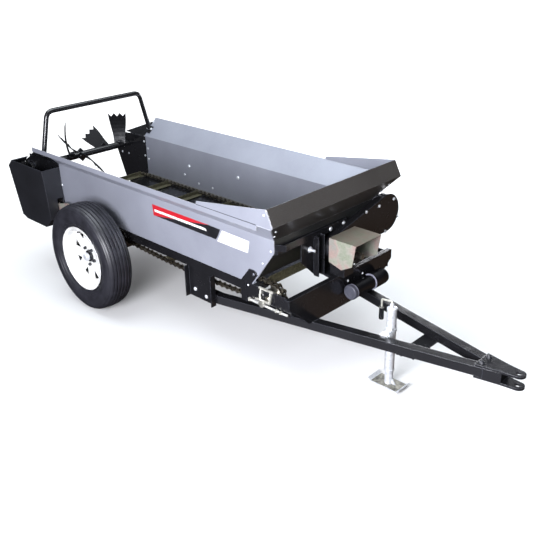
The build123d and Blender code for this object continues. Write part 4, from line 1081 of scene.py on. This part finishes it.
# ---------------------------------------------------------------- jack
def jack_details():
    """Collar, pull pin, cap, grip and foot plate of the parking jack."""
    def upright(outline, z, steps, x=jack_x):
        return turned(outline, (x, jack_y, z), UP, steps)

    keep("jack_fittings", joined(
        upright([(0, 25.4), (0, 28.6), (2, 29.6), (14, 29.6), (16, 28.6), (16, 25.4)], 322, 48),
        upright([(-3, 0), (-3, 25.9), (0, 25.4), (4, 21), (6, 12), (20, 11), (24, 9), (24, 0)], jack_top, 40),
        upright([(0, 25.4), (0, 27.2), (8, 27.2), (9, 25.4)], span("jack_tube", 2)[0] + 1, 48)), ZINC, "jack")
    pin = turned([(0, 0), (0, 5), (26, 5), (27, 4), (27, 0)], (jack_x, jack_y - 30, 346), FORE, 16)
    ring = [(jack_x + x, jack_y + y, z) for x, y, z in ((27, -30, 346), (34, -42, 350), (30, -52, 342),
                                                        (16, -48, 336))]
    keep("jack_pull_pin", joined(pin, pipe(ring, 1.8, order=3)), ZINC, "jack")
    low = span("jack_crank", 2)[0]
    grip = [(-1, 0), (-1, 9), (1.5, 12.4), (12, 13.2), (60, 12.4), (66, 12.6), (70.5, 11), (71.2, 5.2),
            (71.2, 0)]
    grip = upright([(low + z, r) for z, r in grip], 0, 28, span("jack_crank", 0)[0] + 12)
    keep("crank_grip", grip, PLASTIC, "jack")
    long, wide, top = 79, 46, 6.1  # half sizes of the foot plate, and its upper face
    foot = plate((jack_x - long, jack_x + long), (jack_y - wide, jack_y + wide), top, (0, 0, 0.4))
    keep("foot_film", foot, SCUFFED_ZINC, "jack_leg")


for build in (fasten, weld, wheels, rims, conveyor, conveyor_shafts, takeup_guides, box_details, case_rim,
              guard_bar, guard_hem, document_tube, splined_stub, jack_details, drive_details):
    build()


# ---------------------------------------------------------------- stage
def softbox(name, place, aim, size, power, colour):
    """Rectangular soft light at a place, turned to face aim."""
    lamp = bpy.data.lights.new(name, "AREA")
    lamp.shape = "RECTANGLE"
    lamp.size, lamp.size_y = size
    lamp.energy = power
    lamp.color = rgb(colour)[:3]
    light = placed(name, lamp)
    light.location = place
    light.rotation_euler = (Vector(aim) - Vector(place)).to_track_quat("-Z", "Y").to_euler()


def backdrop():
    """Pale seamless paper: a floor, and walls far off that neither light nor shade the machine. The paper
    glows with painted light, faint near the machine and brighter further off.
    """
    paper, tree, shader, place = material("white_paper_floor_painted_glow")
    tone = add(tree, NOISE, {"Vector": place, "Scale": 1000 / 900, "Detail": 2.0})
    reach = add(tree, VECTOR_MATH, {0: place}, operation="LENGTH").outputs["Value"]
    feed(tree, shader, {
        "Base Color": add(tree, RAMP, {"Fac": tone}, ((0.3, "#d2d2d2"), (0.7, "#d7d7d7"))),
        "Roughness": 0.8, "Emission Color": rgb("#ffffff"),
        # painted light: the paper glows, faintly near the machine and more strongly further off
        "Emission Strength": add(tree, MAP_RANGE, {"Value": reach, "From Min": 1.2, "From Max": 6.0,
                                                   "To Min": 0.05, "To Max": 1.1})})
    half, wall_top = 60.0, 45.0
    square = ((-half, -half), (half, -half), (half, half), (-half, half))
    low, high = [(x, y, 0) for x, y in square], [(x, y, wall_top) for x, y in square]
    for name, corners, faces, shadow in (("studio_floor", low, [(0, 1, 2, 3)], True),
                                         ("studio_walls", low + high, band(4, 0, 4), False)):
        mesh = bpy.data.meshes.new(name)
        mesh.from_pydata(corners, [], faces)
        mesh.materials.append(paper)
        screen = placed(name, mesh)
        screen.visible_diffuse = False
        screen.visible_glossy = False
        screen.visible_shadow = shadow


def room_light():
    """A dim room with a bright ceiling, a pale wall on the right and a warm one far ahead on the left."""
    world = bpy.data.worlds.new("studio")
    world.use_nodes = True
    tree = world.node_tree
    way = add(tree, "ShaderNodeTexCoord").outputs["Generated"]
    height = add(tree, MAP_RANGE, {"Value": add(tree, SEPARATE, {0: way}).outputs["Z"], "From Min": -1.0})
    room = add(tree, RAMP, {"Fac": height}, ((0.0, "#2b2522"), (0.46, "#2e2b2b"), (0.76, "#3f4146"),
                                             (0.90, "#c4c9d0"), (1.0, "#ffffff")))
    pale = ((0.66, "#000000"), (0.84, "#575963"), (0.94, "#b6b8c6"), (1.0, "#cfd0dc"))
    warm = ((0.80, "#000000"), (0.92, "#4c4037"), (1.0, "#7d6a5c"))
    for towards, stops in (((0.10, -0.94, -0.32), pale), ((0.70, 0.55, -0.45), warm)):
        facing = add(tree, VECTOR_MATH, {0: way, 1: towards}, operation="DOT_PRODUCT").outputs["Value"]
        near = add(tree, MAP_RANGE, {"Value": facing, "From Min": -1.0})
        wall = add(tree, RAMP, {"Fac": near}, stops)
        room = add(tree, MIX, {0: 1.0, 6: room, 7: wall}, data_type="RGBA", blend_type="ADD")
    feed(tree, tree.nodes["Background"], {"Color": room, "Strength": 0.8})
    bpy.context.scene.world = world


def camera():
    """The camera, right of the machine and ahead of it."""
    lens = bpy.data.cameras.new("camera")
    lens.sensor_width = 36.0
    lens.lens = 49.52
    lens.shift_x = 0.0066
    lens.shift_y = -0.0270
    heading, tilt, roll = 45.305, 65.902, -1.694
    turn = (Matrix.Rotation(radians(heading), 3, "Z") @ Matrix.Rotation(radians(tilt), 3, "X")
            @ Matrix.Rotation(radians(roll), 3, "Z"))
    eye = placed("camera", lens)
    eye.matrix_world = Matrix.Translation(at(3776.2, -2790.3, 2225.7)) @ turn.to_4x4()
    bpy.context.scene.camera = eye


backdrop()
room_light()
softbox("key", (1.6, -3.2, 1.7), (0.8, 0.0, 0.7), (1.8, 1.4), 292, "#f8f9ff")
softbox("top", (-0.6, 0.4, 6.0), (0.0, 0.0, 0.6), (6.0, 4.5), 360, "#f0faff")
softbox("fill", (-1.2, 4.2, 1.1), (-0.2, 0.4, 0.5), (3.4, 1.8), 190, "#f8f9ff")
camera()
bpy.context.scene.view_settings.view_transform = "Standard"
